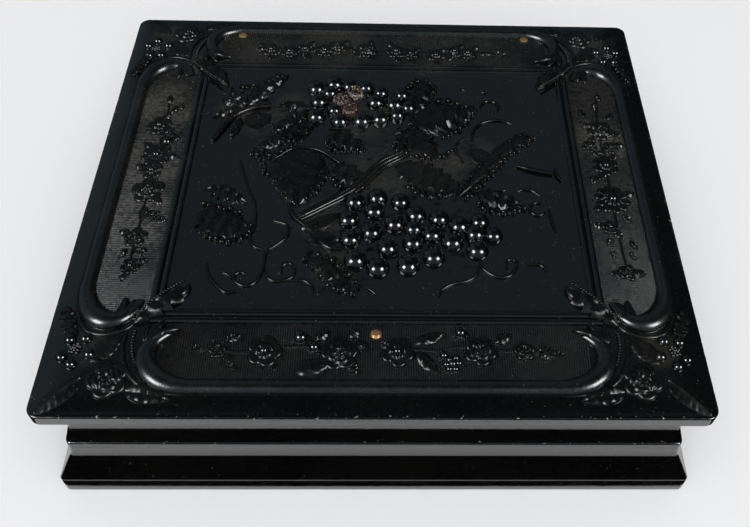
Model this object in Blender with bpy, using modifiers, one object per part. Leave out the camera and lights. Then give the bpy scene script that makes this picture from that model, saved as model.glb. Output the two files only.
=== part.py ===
"""Union case: a hinged two-part case for a sixth-size image plate, closed.

The lid carries a grapevine panel inside a scrolled border. The base is a coved tray on a foot.
"""

import math

import bmesh
import bpy
from mathutils import Matrix, Vector

MM = 0.001

# Outline and heights
PLATE_X = 95.0 * MM
PLATE_Y = 84.0 * MM
EDGE_Z = 23.8 * MM
SEAM_Z = 11.9 * MM
SEAM_GAP = 0.3 * MM
FOOT_OUT = 0.6 * MM
PLATE_RADIUS = 1.9 * MM
COVE_RADIUS = 0.7 * MM
TOP_RADIUS = 0.3 * MM
ROUND_EDGE = 0.5 * MM
FIT = 0.3 * MM
CORNER_STEPS = 5

# Lid's side over the seam, as inset from the outline and height
LID_LOWER = (
    (1.6 * MM, 0.0 * MM),
    (1.6 * MM, 0.4 * MM),
    (2.3 * MM, 1.05 * MM),
    (2.55 * MM, 2.25 * MM),
    (2.5 * MM, 3.95 * MM),
)

# Lid's side under its edge, as inset and depth
LID_UPPER = (
    (2.2 * MM, 5.8 * MM),
    (1.6 * MM, 4.2 * MM),
    (0.9 * MM, 3.1 * MM),
    (0.3 * MM, 2.6 * MM),
    (0.0 * MM, 2.0 * MM),
    (0.0 * MM, 0.4 * MM),
    (0.35 * MM, 0.0 * MM),
)

# Lid's top over its edge, as inset and height: band, strip, double ridge and panel
LID_TOP = (
    (1.2 * MM, 0.35 * MM),
    (2.8 * MM, 0.7 * MM),
    (5.2 * MM, 0.95 * MM),
    (13.9 * MM, 1.5 * MM),
    (14.2 * MM, 2.05 * MM),
    (14.75 * MM, 2.1 * MM),
    (15.05 * MM, 1.8 * MM),
    (15.35 * MM, 2.1 * MM),
    (15.85 * MM, 2.15 * MM),
    (16.15 * MM, 1.8 * MM),
)

# Foot and lower side of the base, as inset from the foot's outline and height
BASE_LOWER = (
    (0.3 * MM, 0.0 * MM),
    (0.0 * MM, 0.3 * MM),
    (0.0 * MM, 2.1 * MM),
    (0.3 * MM, 2.85 * MM),
    (0.7 * MM, 3.4 * MM),
    (1.2 * MM, 3.8 * MM),
    (1.8 * MM, 4.7 * MM),
    (2.2 * MM, 5.8 * MM),
)

# Base's side under the seam, as inset from the lid's outline and depth
BASE_UPPER = (
    (1.9 * MM, 4.65 * MM),
    (2.05 * MM, 3.05 * MM),
    (1.95 * MM, 1.45 * MM),
    (1.6 * MM, 0.65 * MM),
    (1.6 * MM, 0.0 * MM),
)

# Hollow of both halves, inside rails that are widest at the hinges
SIDE_RAIL = 5.5 * MM
FRONT_RAIL = 5.8 * MM
BACK_RAIL = 7.3 * MM
CAVITY_X = PLATE_X - 2 * SIDE_RAIL
CAVITY_Y = PLATE_Y - FRONT_RAIL - BACK_RAIL
CAVITY_MID = (FRONT_RAIL - BACK_RAIL) / 2
CAVITY_FRONT = CAVITY_MID - CAVITY_Y / 2
CAVITY_RADIUS = 0.6 * MM
CEILING_DEPTH = 1.5 * MM
FLOOR_Z = 3.0 * MM
CEILING_Z = EDGE_Z - CEILING_DEPTH

# Picture packet, whose preserver fills the hollow
IMAGE_THICK = 0.5 * MM
MAT_THICK = 0.4 * MM
GLASS_THICK = 1.6 * MM
FOIL = 0.3 * MM
LAYER_GAP = 0.2 * MM
PRESERVER_LAP = 3.0 * MM
PRESERVER_TUCK = 1.6 * MM
MAT_END = 12.2 * MM
MAT_SIDE = 11.65 * MM
IMAGE_X = CAVITY_X - 2 * (LAYER_GAP + FOIL + FIT)
IMAGE_Y = CAVITY_Y - 2 * (LAYER_GAP + FOIL + FIT)
WINDOW_X = IMAGE_X - 2 * MAT_END
WINDOW_Y = IMAGE_Y - 2 * MAT_SIDE

# Scrolled mouldings beside the strips
SCROLL_INSET = 4.2 * MM
SCROLL_RADIUS = 1.2 * MM
SCROLL_SINK = 0.05 * MM
SCROLL_FRONT_CORNER = 21.5 * MM
SCROLL_SIDE_CORNER = 21.0 * MM
SCROLL_CURL_ALONG = 6.5 * MM
SCROLL_CURL_IN = 4.6 * MM
SCROLL_CURL_TURN = 150
SCROLL_CURL_STEPS = 9
SCROLL_SWELL = 0.35
SCROLL_TAPER = 0.3

# Grapes, in rows of (x, y, count) from each row's first grape
GRAPE_RADIUS = 1.85 * MM
GRAPE_STEP = 3.75 * MM
GRAPE_STAGGER = 0.7 * MM
GRAPE_SINK = 0.05 * MM
UPPER_ROWS = ((-11.7 * MM, 11.9 * MM, 5), (-11.4 * MM, 15.6 * MM, 5), (-12.2 * MM, 19.2 * MM, 4))
LOWER_ROWS = (
    (-4.4 * MM, -6.2 * MM, 3),
    (-5.2 * MM, -9.6 * MM, 6),
    (-4.8 * MM, -13.4 * MM, 7),
    (-4.0 * MM, -17.2 * MM, 4),
)

# Leaves and flowers of the lid: sink under the lid's top and points round each
MOUND_SINK = 0.5 * MM
MOUND_POINTS = 10
# Vine leaves on the panel as (x, y, half length, half width, height, turn in degrees)
VINE_LEAVES = (
    (-20.4 * MM, 20.2 * MM, 5.2 * MM, 1.5 * MM, 0.8 * MM, 51),
    (-26.8 * MM, 16.8 * MM, 3.0 * MM, 2.3 * MM, 0.6 * MM, 165),
    (-21.6 * MM, 12.8 * MM, 2.4 * MM, 2.0 * MM, 0.45 * MM, 20),
    (-17.5 * MM, 9.1 * MM, 4.6 * MM, 1.5 * MM, 0.75 * MM, 38),
    (-16.4 * MM, 13.6 * MM, 3.1 * MM, 1.8 * MM, 0.7 * MM, 8),
    (-13.8 * MM, 0.6 * MM, 6.0 * MM, 4.3 * MM, 0.8 * MM, 88),
    (-5.4 * MM, 0.4 * MM, 4.0 * MM, 2.1 * MM, 0.65 * MM, -32),
    (-6.1 * MM, 7.7 * MM, 3.7 * MM, 1.9 * MM, 0.65 * MM, -27),
    (-25.0 * MM, -3.9 * MM, 3.8 * MM, 1.4 * MM, 0.8 * MM, -22),
    (-24.4 * MM, -10.0 * MM, 4.4 * MM, 3.2 * MM, 0.75 * MM, -20),
    (-9.4 * MM, -11.4 * MM, 3.1 * MM, 2.7 * MM, 0.7 * MM, 10),
    (-7.5 * MM, -19.8 * MM, 4.5 * MM, 1.7 * MM, 0.75 * MM, -43),
    (6.4 * MM, 19.2 * MM, 4.4 * MM, 2.2 * MM, 0.8 * MM, 75),
    (10.5 * MM, 14.0 * MM, 5.6 * MM, 3.4 * MM, 0.9 * MM, 18),
    (6.9 * MM, 7.7 * MM, 4.0 * MM, 2.5 * MM, 0.8 * MM, -58),
    (8.1 * MM, -0.2 * MM, 6.4 * MM, 2.7 * MM, 0.55 * MM, -28),
    (18.9 * MM, 3.4 * MM, 9.0 * MM, 1.5 * MM, 1.1 * MM, 48),
    (19.3 * MM, -4.7 * MM, 3.7 * MM, 2.0 * MM, 0.75 * MM, -21),
    (-4.4 * MM, -2.2 * MM, 11.0 * MM, 0.8 * MM, 0.9 * MM, 40),
)
# Flowers on the strips as (x, y, radius)
STRIP_FLOWERS = (
    (-22.6 * MM, -32.3 * MM, 1.5 * MM),
    (-16.0 * MM, -32.5 * MM, 2.5 * MM),
    (-9.8 * MM, -31.6 * MM, 1.7 * MM),
    (-4.9 * MM, -32.7 * MM, 2.8 * MM),
    (2.9 * MM, -32.5 * MM, 2.4 * MM),
    (7.6 * MM, -32.4 * MM, 1.9 * MM),
    (14.6 * MM, -32.3 * MM, 2.5 * MM),
    (20.9 * MM, -32.2 * MM, 1.7 * MM),
    (-37.9 * MM, 11.4 * MM, 1.9 * MM),
    (-37.7 * MM, 4.6 * MM, 2.2 * MM),
    (-37.8 * MM, -2.4 * MM, 2.3 * MM),
    (-37.9 * MM, -12.4 * MM, 1.7 * MM),
    (-37.6 * MM, -17.9 * MM, 1.4 * MM),
    (38.3 * MM, 11.9 * MM, 2.0 * MM),
    (37.9 * MM, 3.6 * MM, 2.0 * MM),
    (37.9 * MM, -3.9 * MM, 2.4 * MM),
    (36.9 * MM, -9.6 * MM, 1.4 * MM),
    (38.1 * MM, -18.3 * MM, 1.5 * MM),
    (-19.6 * MM, 30.9 * MM, 1.8 * MM),
    (-12.9 * MM, 31.3 * MM, 1.8 * MM),
    (-3.9 * MM, 31.4 * MM, 1.9 * MM),
    (3.6 * MM, 30.8 * MM, 1.9 * MM),
    (11.4 * MM, 30.7 * MM, 1.9 * MM),
    (16.0 * MM, 30.9 * MM, 1.5 * MM),
)
FLOWER_HEIGHT = 0.7 * MM
# Each corner's spray as (from the end, from the side, half length, half width, height, turn in degrees)
CORNER_SPRAY = (
    (10.8 * MM, 5.3 * MM, 2.8 * MM, 2.8 * MM, 1.0 * MM, 0),
    (5.5 * MM, 9.6 * MM, 2.5 * MM, 2.5 * MM, 0.75 * MM, 30),
    (4.2 * MM, 2.8 * MM, 3.2 * MM, 0.9 * MM, 0.4 * MM, 40),
    (16.0 * MM, 3.1 * MM, 3.1 * MM, 1.4 * MM, 0.55 * MM, -12),
    (2.5 * MM, 14.2 * MM, 2.2 * MM, 0.8 * MM, 0.45 * MM, 100),
    (15.3 * MM, 16.2 * MM, 5.8 * MM, 2.3 * MM, 0.9 * MM, 46),
)

# Hinges
HINGE_FROM_END = 20.5 * MM
HINGE_X = PLATE_X / 2 - HINGE_FROM_END
HINGE_WIDTH = 15.0 * MM
HINGE_INSET = 0.8 * MM
KNUCKLE_RADIUS = 1.0 * MM
PIN_RADIUS = 0.45 * MM
PIN_CLEAR = 0.08 * MM
MID_KNUCKLE = 4.6 * MM
LEAF_THICK = 0.5 * MM
LEAF_FROM_SEAM = 0.2 * MM
LEAF_INSET = 6.9 * MM
HINGE_RIVET_INSET = 5.6 * MM
HINGE_AXIS_Y = PLATE_Y / 2 - HINGE_INSET
LEAF_INNER_Y = PLATE_Y / 2 - LEAF_INSET
HINGE_RIVET_Y = PLATE_Y / 2 - HINGE_RIVET_INSET

# Rivets
RIVET_SHANK = 0.6 * MM
RIVET_HEAD = 0.92 * MM
RIVET_DOME = 0.5 * MM
RIVET_CLEAR = 0.1 * MM
HEAD_CLEAR = 0.2 * MM
FOOT_HEAD_SINK = 0.15 * MM
FOOT_HEAD_THICK = 0.6 * MM

# Clasp, set out from the front wall of the hollow
CLASP_X = -0.3 * MM
CLASP_WIDTH = 8.0 * MM
CLASP_THICK = 0.5 * MM
CLASP_REACH = 9.0 * MM
CLASP_RIVET_IN = 6.6 * MM
TONGUE_INSIDE = 0.7 * MM
TONGUE_DROP = 3.1 * MM
TONGUE_ROOM = 1.8 * MM
BEAD_RADIUS = 0.5 * MM
BEAD_DROP = 2.1 * MM
BEAD_OUT = 0.25 * MM
CATCH_IN_WALL = 0.35 * MM
CATCH_DROP = 0.7 * MM
SLOT_HALF = 0.6 * MM
CLASP_INNER_Y = CAVITY_FRONT + CLASP_REACH
CLASP_RIVET_Y = CAVITY_FRONT + CLASP_RIVET_IN
TONGUE_Y = CAVITY_FRONT + TONGUE_INSIDE
CATCH_Y = CAVITY_FRONT - CATCH_IN_WALL

# Linings
RETAINER_WIDTH = 2.2 * MM
RETAINER_DROP = 0.5 * MM
RETAINER_SPLAY = 0.6 * MM
CARD_THICK = 0.9 * MM
PAD_RADIUS = 3.0 * MM
PAD_CLEAR = 1.1 * MM

# Velvet pad, as inset and depth under the ceiling, from its back to its crown
PAD_SECTIONS = (
    (1.2 * MM, 1.5 * MM),
    (0.3 * MM, 2.1 * MM),
    (0.0 * MM, 3.7 * MM),
    (0.5 * MM, 5.5 * MM),
    (1.8 * MM, 6.7 * MM),
    (4.5 * MM, 7.4 * MM),
    (11.0 * MM, 7.95 * MM),
    (20.0 * MM, 8.2 * MM),
)

SEAM_LID = SEAM_Z + SEAM_GAP / 2
SEAM_BASE = SEAM_Z - SEAM_GAP / 2
PANEL_Z = EDGE_Z + LID_TOP[-1][1]


def make_collection(name, helper):
    collection = bpy.data.collections.new(name)
    bpy.context.scene.collection.children.link(collection)
    collection.hide_render = helper
    return collection


def add_object(name, mesh, collection):
    obj = bpy.data.objects.new(name, mesh)
    collection.objects.link(obj)
    if collection.hide_render:
        obj.hide_render = True
        obj.display_type = "WIRE"
    return obj


def mesh_from(bm, name):
    bmesh.ops.recalc_face_normals(bm, faces=bm.faces)
    mesh = bpy.data.meshes.new(name)
    bm.to_mesh(mesh)
    bm.free()
    return mesh


def outline(half_x, half_y, radius, mid_y=0.0):
    """Corner points of a rounded rectangle, anticlockwise."""
    points = []
    for quarter, (sx, sy) in enumerate(((1, 1), (-1, 1), (-1, -1), (1, -1))):
        for step in range(CORNER_STEPS):
            turn = math.pi / 2 * (quarter + step / (CORNER_STEPS - 1))
            x = sx * (half_x - radius) + radius * math.cos(turn)
            y = sy * (half_y - radius) + radius * math.sin(turn)
            points.append((x, y + mid_y))
    return points


def loft(name, collection, sections):
    """One closed body through rounded rectangles (half_x, half_y, radius, mid_y, z), capped at both ends."""
    bm = bmesh.new()
    rings = []
    for half_x, half_y, radius, mid_y, z in sections:
        rings.append([bm.verts.new((x, y, z)) for x, y in outline(half_x, half_y, radius, mid_y)])
    for ring in rings:
        for start, end in zip(ring, ring[1:] + ring[:1]):
            bm.edges.new((start, end))
    bm.edges.ensure_lookup_table()
    count = len(rings[0])
    for index in range(len(rings) - 1):
        pair = bm.edges[index * count : (index + 2) * count]
        bmesh.ops.bridge_loops(bm, edges=pair)
        bm.edges.ensure_lookup_table()
    bmesh.ops.contextual_create(bm, geom=rings[0])
    bmesh.ops.contextual_create(bm, geom=rings[-1])
    return add_object(name, mesh_from(bm, name), collection)


def moulded(rows, datum, sense, radius_of, out=0.0):
    """Sections for loft from rows of inset and distance from a datum height, upwards where sense is 1."""
    half_x, half_y = PLATE_X / 2 + out, PLATE_Y / 2 + out
    return [(half_x - i, half_y - i, radius_of(i - out), 0.0, datum + sense * d) for i, d in rows]


def box(name, collection, low, high, bevel=0.0):
    bm = bmesh.new()
    bmesh.ops.create_cube(bm, size=1.0)
    size = Vector(high) - Vector(low)
    centre = (Vector(high) + Vector(low)) / 2
    bmesh.ops.transform(bm, matrix=Matrix.Translation(centre) @ Matrix.Diagonal((*size, 1.0)), verts=bm.verts)
    obj = add_object(name, mesh_from(bm, name), collection)
    if bevel:
        modifier = obj.modifiers.new("edges", "BEVEL")
        modifier.width = bevel
        modifier.segments = 2
    return obj


def cylinder(name, collection, radius, start, end, segments=16):
    """A rod between two points."""
    start, end = Vector(start), Vector(end)
    bm = bmesh.new()
    bmesh.ops.create_cone(
        bm, cap_ends=True, segments=segments, radius1=radius, radius2=radius, depth=(end - start).length
    )
    turn = Vector((0, 0, 1)).rotation_difference(end - start).to_matrix().to_4x4()
    bmesh.ops.transform(bm, matrix=Matrix.Translation((start + end) / 2) @ turn, verts=bm.verts)
    return add_object(name, mesh_from(bm, name), collection)


def turned(name, collection, profile, place, steps=16):
    """A solid of revolution about a vertical axis, from (radius, z) points, from its top down."""
    bm = bmesh.new()
    verts = [bm.verts.new((r, 0.0, z)) for r, z in profile]
    for start, end in zip(verts, verts[1:]):
        bm.edges.new((start, end))
    mesh = bpy.data.meshes.new(name)
    bm.to_mesh(mesh)
    bm.free()
    obj = add_object(name, mesh, collection)
    obj.location = place
    screw = obj.modifiers.new("turn", "SCREW")
    screw.steps = steps
    screw.render_steps = steps
    screw.use_merge_vertices = True
    screw.merge_threshold = 0.00001
    return obj


def boolean(obj, operand, operation):
    modifier = obj.modifiers.new(operation.lower(), "BOOLEAN")
    modifier.operation = operation
    modifier.solver = "EXACT"
    if isinstance(operand, bpy.types.Collection):
        modifier.operand_type = "COLLECTION"
        modifier.collection = operand
    else:
        modifier.object = operand
    return modifier


def finish(obj, material):
    obj.data.materials.append(material)
    return obj


def principled(name, colour, roughness, metallic=0.0, transmission=0.0):
    material = bpy.data.materials.new(name)
    material.use_nodes = True
    shader = material.node_tree.nodes["Principled BSDF"]
    shader.inputs["Base Color"].default_value = (*colour, 1.0)
    shader.inputs["Roughness"].default_value = roughness
    shader.inputs["Metallic"].default_value = metallic
    shader.inputs["Transmission Weight"].default_value = transmission
    return material


def scroll_points(run):
    """The curled end of a scrolled moulding, as (along, inward, thickness factor)."""
    points = []
    for step in range(SCROLL_CURL_STEPS + 1):
        part = step / SCROLL_CURL_STEPS
        turn = math.radians(SCROLL_CURL_TURN) * part
        swell = SCROLL_SWELL * math.sin(math.pi * min(1.0, 1.35 * part))
        thick = 1 + swell - SCROLL_TAPER * part**4
        along = run + SCROLL_CURL_ALONG * math.sin(turn)
        inward = SCROLL_CURL_IN * (1 - math.cos(turn))
        points.append((along, inward, thick))
    return points


def scroll(name, collection, run, half_across, turn):
    """A half-round moulding along one edge of the lid that curls in at both ends."""
    half = scroll_points(run)
    points = [(-a, b, t) for a, b, t in reversed(half)] + half
    curve = bpy.data.curves.new(name, "CURVE")
    curve.dimensions = "3D"
    curve.bevel_depth = SCROLL_RADIUS
    curve.bevel_resolution = 1
    curve.use_fill_caps = True
    spline = curve.splines.new("POLY")
    spline.points.add(len(points) - 1)
    rotate = Matrix.Rotation(turn, 3, "Z")
    for point, (along, inward, thick) in zip(spline.points, points):
        inset = SCROLL_INSET + inward
        height = top_height(inset) - SCROLL_SINK
        place = rotate @ Vector((along, -(half_across - inset), height))
        point.co = (*place, 1.0)
        point.radius = thick
    path = bpy.data.objects.new(name + "_path", curve)
    bpy.context.scene.collection.objects.link(path)
    graph = bpy.context.evaluated_depsgraph_get()
    mesh = bpy.data.meshes.new_from_object(path.evaluated_get(graph))
    bpy.data.objects.remove(path)
    bm = bmesh.new()
    bm.from_mesh(mesh)
    bmesh.ops.remove_doubles(bm, verts=bm.verts, dist=0.00001)
    return add_object(name, mesh_from(bm, name), collection)


def top_height(inset):
    """Height of the lid's top at an inset from the outline, without its relief."""
    rows = [LID_UPPER[-1], *LID_TOP]
    for (i0, z0), (i1, z1) in zip(rows, rows[1:]):
        if i0 <= inset <= i1:
            return EDGE_Z + z0 + (z1 - z0) * (inset - i0) / (i1 - i0)
    return PANEL_Z


def grapes(name, collection, rows):
    """Half-sunk round grapes set in staggered rows on the panel."""
    for row, (x, y, count) in enumerate(rows):
        for place in range(count):
            bm = bmesh.new()
            bmesh.ops.create_uvsphere(bm, u_segments=9, v_segments=6, radius=GRAPE_RADIUS)
            lift = GRAPE_STAGGER * (place % 2)
            centre = Vector((x + place * GRAPE_STEP, y + lift, PANEL_Z - GRAPE_SINK))
            spin = Matrix.Rotation(0.37 * (row + 3 * place), 4, "Z")
            bmesh.ops.transform(bm, matrix=Matrix.Translation(centre) @ spin, verts=bm.verts)
            add_object(f"{name}_{row}_{place}", mesh_from(bm, name), collection)


def mound(name, collection, place, long, wide, height, degrees):
    """A low closed mound on the lid's top, pointed at both ends where it is longer than it is wide."""
    x, y = place
    ground = top_height(min(PLATE_X / 2 - abs(x), PLATE_Y / 2 - abs(y)))
    taper = 0.0 if long == wide else 0.4
    spin = Matrix.Rotation(math.radians(degrees), 3, "Z")
    bm = bmesh.new()
    rings = []
    for share, z in ((1.0, -MOUND_SINK), (0.93, 0.5 * height), (0.55, height)):
        ring = []
        for step in range(MOUND_POINTS):
            turn = 2 * math.pi * (step + 0.5) / MOUND_POINTS
            across = math.sin(turn) * abs(math.sin(turn)) ** taper
            spot = spin @ Vector((share * long * math.cos(turn), share * wide * across, z))
            ring.append(bm.verts.new(Vector((x, y, ground)) + spot))
        rings.append(ring)
    for lower, upper in zip(rings, rings[1:]):
        for a in range(MOUND_POINTS):
            b = (a + 1) % MOUND_POINTS
            bm.faces.new((lower[a], lower[b], upper[b], upper[a]))
    bm.faces.new(rings[0])
    bm.faces.new(rings[-1])
    add_object(name, mesh_from(bm, name), collection)


def sprays(collection):
    """The vine's leaves on the panel, the strips' flowers and the same spray in each corner."""
    for index, (x, y, long, wide, height, degrees) in enumerate(VINE_LEAVES):
        mound(f"vine_leaf_{index}", collection, (x, y), long, wide, height, degrees)
    for index, (x, y, radius) in enumerate(STRIP_FLOWERS):
        mound(f"strip_flower_{index}", collection, (x, y), radius, radius, FLOWER_HEIGHT, 17 * index)
    for sx in (-1, 1):
        for sy in (-1, 1):
            for index, (end, side, long, wide, height, degrees) in enumerate(CORNER_SPRAY):
                place = (sx * (PLATE_X / 2 - end), sy * (PLATE_Y / 2 - side))
                name = f"corner_spray_{sx + 1}{sy + 1}_{index}"
                mound(name, collection, place, long, wide, height, sx * sy * degrees)


def hinge(side, x, parts, lid_cuts, base_cuts, brass):
    """Both leaves, the pin and the rivets of one hinge, with the room that they need in the mouldings."""
    left, right = x - HINGE_WIDTH / 2, x + HINGE_WIDTH / 2
    axis = (HINGE_AXIS_Y, SEAM_Z)
    lid_low = SEAM_Z + LEAF_FROM_SEAM
    base_high = SEAM_Z - LEAF_FROM_SEAM
    mid_low, mid_high = x - MID_KNUCKLE / 2, x + MID_KNUCKLE / 2
    helpers = make_collection(f"hinge_{side}_helpers", True)

    lid_leaf = box(
        f"hinge_{side}_lid_leaf",
        parts,
        (left, LEAF_INNER_Y, lid_low),
        (right, HINGE_AXIS_Y, lid_low + LEAF_THICK),
    )
    base_leaf = box(
        f"hinge_{side}_base_leaf",
        parts,
        (left, LEAF_INNER_Y, base_high - LEAF_THICK),
        (right, HINGE_AXIS_Y, base_high),
    )
    reach = KNUCKLE_RADIUS
    spans = ((left - reach, mid_low), (mid_low - FIT, mid_high + FIT), (mid_high, right + reach))
    room = KNUCKLE_RADIUS + FIT
    for index, (low, high) in enumerate(spans):
        other = base_leaf if index == 1 else lid_leaf
        gap = cylinder(f"{side}_room_{index}", helpers, room, (low, *axis), (high, *axis))
        boolean(other, gap, "DIFFERENCE")
    knuckles = (
        (lid_leaf, mid_low, mid_high),
        (base_leaf, left, mid_low - FIT),
        (base_leaf, mid_high + FIT, right),
    )
    for index, (leaf, low, high) in enumerate(knuckles):
        rolled = cylinder(f"{side}_knuckle_{index}", helpers, KNUCKLE_RADIUS, (low, *axis), (high, *axis))
        boolean(leaf, rolled, "UNION")
    bore_radius = PIN_RADIUS + PIN_CLEAR
    bore = cylinder(f"{side}_bore", helpers, bore_radius, (left - reach, *axis), (right + reach, *axis))
    hole = cylinder(
        f"{side}_rivet_hole",
        helpers,
        RIVET_SHANK + RIVET_CLEAR,
        (x, HINGE_RIVET_Y, base_high - 4 * LEAF_THICK),
        (x, HINGE_RIVET_Y, lid_low + 4 * LEAF_THICK),
    )
    for leaf in (lid_leaf, base_leaf):
        boolean(leaf, bore, "DIFFERENCE")
        boolean(leaf, hole, "DIFFERENCE")
        finish(leaf, brass)
    pin = cylinder(f"hinge_{side}_pin", parts, PIN_RADIUS, (left - FIT, *axis), (right + FIT, *axis))
    finish(pin, brass)

    inner = LEAF_INNER_Y - FIT
    low, high = left - FIT, right + FIT
    lid_mortise = lid_low + LEAF_THICK + FIT
    base_mortise = base_high - LEAF_THICK - FIT
    outer = HINGE_AXIS_Y + KNUCKLE_RADIUS
    box(f"{side}_lid_mortise", lid_cuts, (low, inner, SEAM_LID - 2 * FIT), (high, outer, lid_mortise))
    box(f"{side}_base_mortise", base_cuts, (low, inner, base_mortise), (high, outer, SEAM_BASE + 2 * FIT))
    for cuts in (lid_cuts, base_cuts):
        cylinder(f"{side}_{cuts.name}_notch", cuts, room, (low - FIT, *axis), (high + FIT, *axis))

    place = (x, HINGE_RIVET_Y)
    seat = top_height(PLATE_Y / 2 - HINGE_RIVET_Y)
    top_rivet(f"hinge_{side}_lid_rivet", parts, lid_cuts, place, seat, lid_low, lid_mortise, brass)
    foot_rivet(f"hinge_{side}_base_rivet", parts, base_cuts, place, base_high, base_mortise, brass)


def top_rivet(name, parts, cuts, place, seat, tail, inner, brass):
    """A rivet with a domed head let into the lid's top, its shank down to the height tail."""
    head = seat - RIVET_CLEAR
    profile = [(0.0, head + RIVET_DOME)]
    for degrees in (30, 60, 90):
        turn = math.radians(degrees)
        profile.append((RIVET_HEAD * math.sin(turn), head + RIVET_DOME * math.cos(turn)))
    profile += [(RIVET_SHANK, head), (RIVET_SHANK, tail), (0.0, tail)]
    finish(turned(name, parts, profile, (*place, 0.0)), brass)
    over = (*place, seat + RIVET_DOME)
    cylinder(name + "_bore", cuts, RIVET_SHANK + RIVET_CLEAR, (*place, inner - FIT), over)
    cylinder(name + "_seat", cuts, RIVET_HEAD + HEAD_CLEAR, (*place, head - RIVET_CLEAR), over)


def foot_rivet(name, parts, cuts, place, tail, inner, brass):
    """A flat-headed rivet let into the underside, its shank up to the height tail."""
    low = FOOT_HEAD_SINK
    head = low + FOOT_HEAD_THICK
    profile = [(0.0, tail), (RIVET_SHANK, tail), (RIVET_SHANK, head)]
    profile += [(RIVET_HEAD, head), (RIVET_HEAD, low), (0.0, low)]
    finish(turned(name, parts, profile, (*place, 0.0)), brass)
    cylinder(name + "_bore", cuts, RIVET_SHANK + RIVET_CLEAR, (*place, -FIT), (*place, inner + FIT))
    cylinder(name + "_seat", cuts, RIVET_HEAD + HEAD_CLEAR, (*place, -FIT), (*place, head + RIVET_CLEAR))


def clasp(parts, lid_cuts, base_cuts, brass):
    """Clasp leaf, sprung tongue and catch, with their rivets and the room cut for them."""
    half = CLASP_WIDTH / 2
    left, right = CLASP_X - half, CLASP_X + half
    low, high = left - FIT, right + FIT
    helpers = make_collection("clasp_helpers", True)
    place = (CLASP_X, CLASP_RIVET_Y)

    leaf_z = CEILING_Z + FIT
    leaf_front = TONGUE_Y + CLASP_THICK / 2 + FIT
    leaf = box("clasp_leaf", parts, (left, leaf_front, leaf_z), (right, CLASP_INNER_Y, leaf_z + CLASP_THICK))
    tongue_back, tongue_front = TONGUE_Y + CLASP_THICK / 2, TONGUE_Y - CLASP_THICK / 2
    tongue = box(
        "clasp_tongue",
        parts,
        (left, tongue_front, SEAM_Z - TONGUE_DROP),
        (right, tongue_back, leaf_z + CLASP_THICK),
    )
    bead_y = tongue_front + BEAD_RADIUS - BEAD_OUT
    bead_z = SEAM_Z - BEAD_DROP
    bead_ends = (left + FIT, bead_y, bead_z), (right - FIT, bead_y, bead_z)
    bead = cylinder("clasp_bead", helpers, BEAD_RADIUS, *bead_ends, 12)
    boolean(tongue, bead, "UNION")

    catch_z = FLOOR_Z - FIT - CLASP_THICK
    catch = box(
        "clasp_catch",
        parts,
        (left, CATCH_Y - CLASP_THICK / 2, catch_z),
        (right, CATCH_Y + CLASP_THICK / 2, SEAM_Z - CATCH_DROP),
    )
    foot = box(
        "catch_foot", helpers, (left, CATCH_Y, catch_z), (right, CLASP_INNER_Y, catch_z + CLASP_THICK)
    )
    boolean(catch, foot, "UNION")
    slot = box(
        "catch_slot",
        helpers,
        (left + 2 * FIT, CATCH_Y - CLASP_THICK, bead_z - SLOT_HALF),
        (right - 2 * FIT, CATCH_Y + CLASP_THICK, bead_z + SLOT_HALF),
    )
    boolean(catch, slot, "DIFFERENCE")
    for piece, z in ((leaf, leaf_z), (catch, catch_z)):
        ends = (*place, z - CLASP_THICK), (*place, z + 2 * CLASP_THICK)
        hole = cylinder(piece.name + "_hole", helpers, RIVET_SHANK + RIVET_CLEAR, *ends)
        boolean(piece, hole, "DIFFERENCE")
    for piece in (leaf, tongue, catch):
        finish(piece, brass)

    inner = CLASP_INNER_Y + FIT
    leaf_room = leaf_z + CLASP_THICK + FIT
    pocket = tongue_front - FIT - BEAD_OUT
    box("lid_leaf_room", lid_cuts, (low, pocket, CEILING_Z - FIT), (high, inner, leaf_room))
    box("lid_tongue_room", lid_cuts, (low, pocket, SEAM_LID - FIT), (high, CAVITY_FRONT + FIT, leaf_room))
    catch_back = CATCH_Y - CLASP_THICK / 2 - FIT
    box("base_foot_room", base_cuts, (low, catch_back, catch_z - FIT), (high, inner, FLOOR_Z + FIT))
    catch_top = (high, CAVITY_FRONT + FIT, SEAM_BASE + FIT)
    box("base_catch_room", base_cuts, (low, catch_back, catch_z - FIT), catch_top)

    seat = top_height(PLATE_Y / 2 + CLASP_RIVET_Y)
    top_rivet("clasp_lid_rivet", parts, lid_cuts, place, seat, leaf_z, leaf_room - FIT, brass)
    foot_rivet("clasp_base_rivet", parts, base_cuts, place, catch_z + CLASP_THICK, catch_z, brass)


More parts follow.
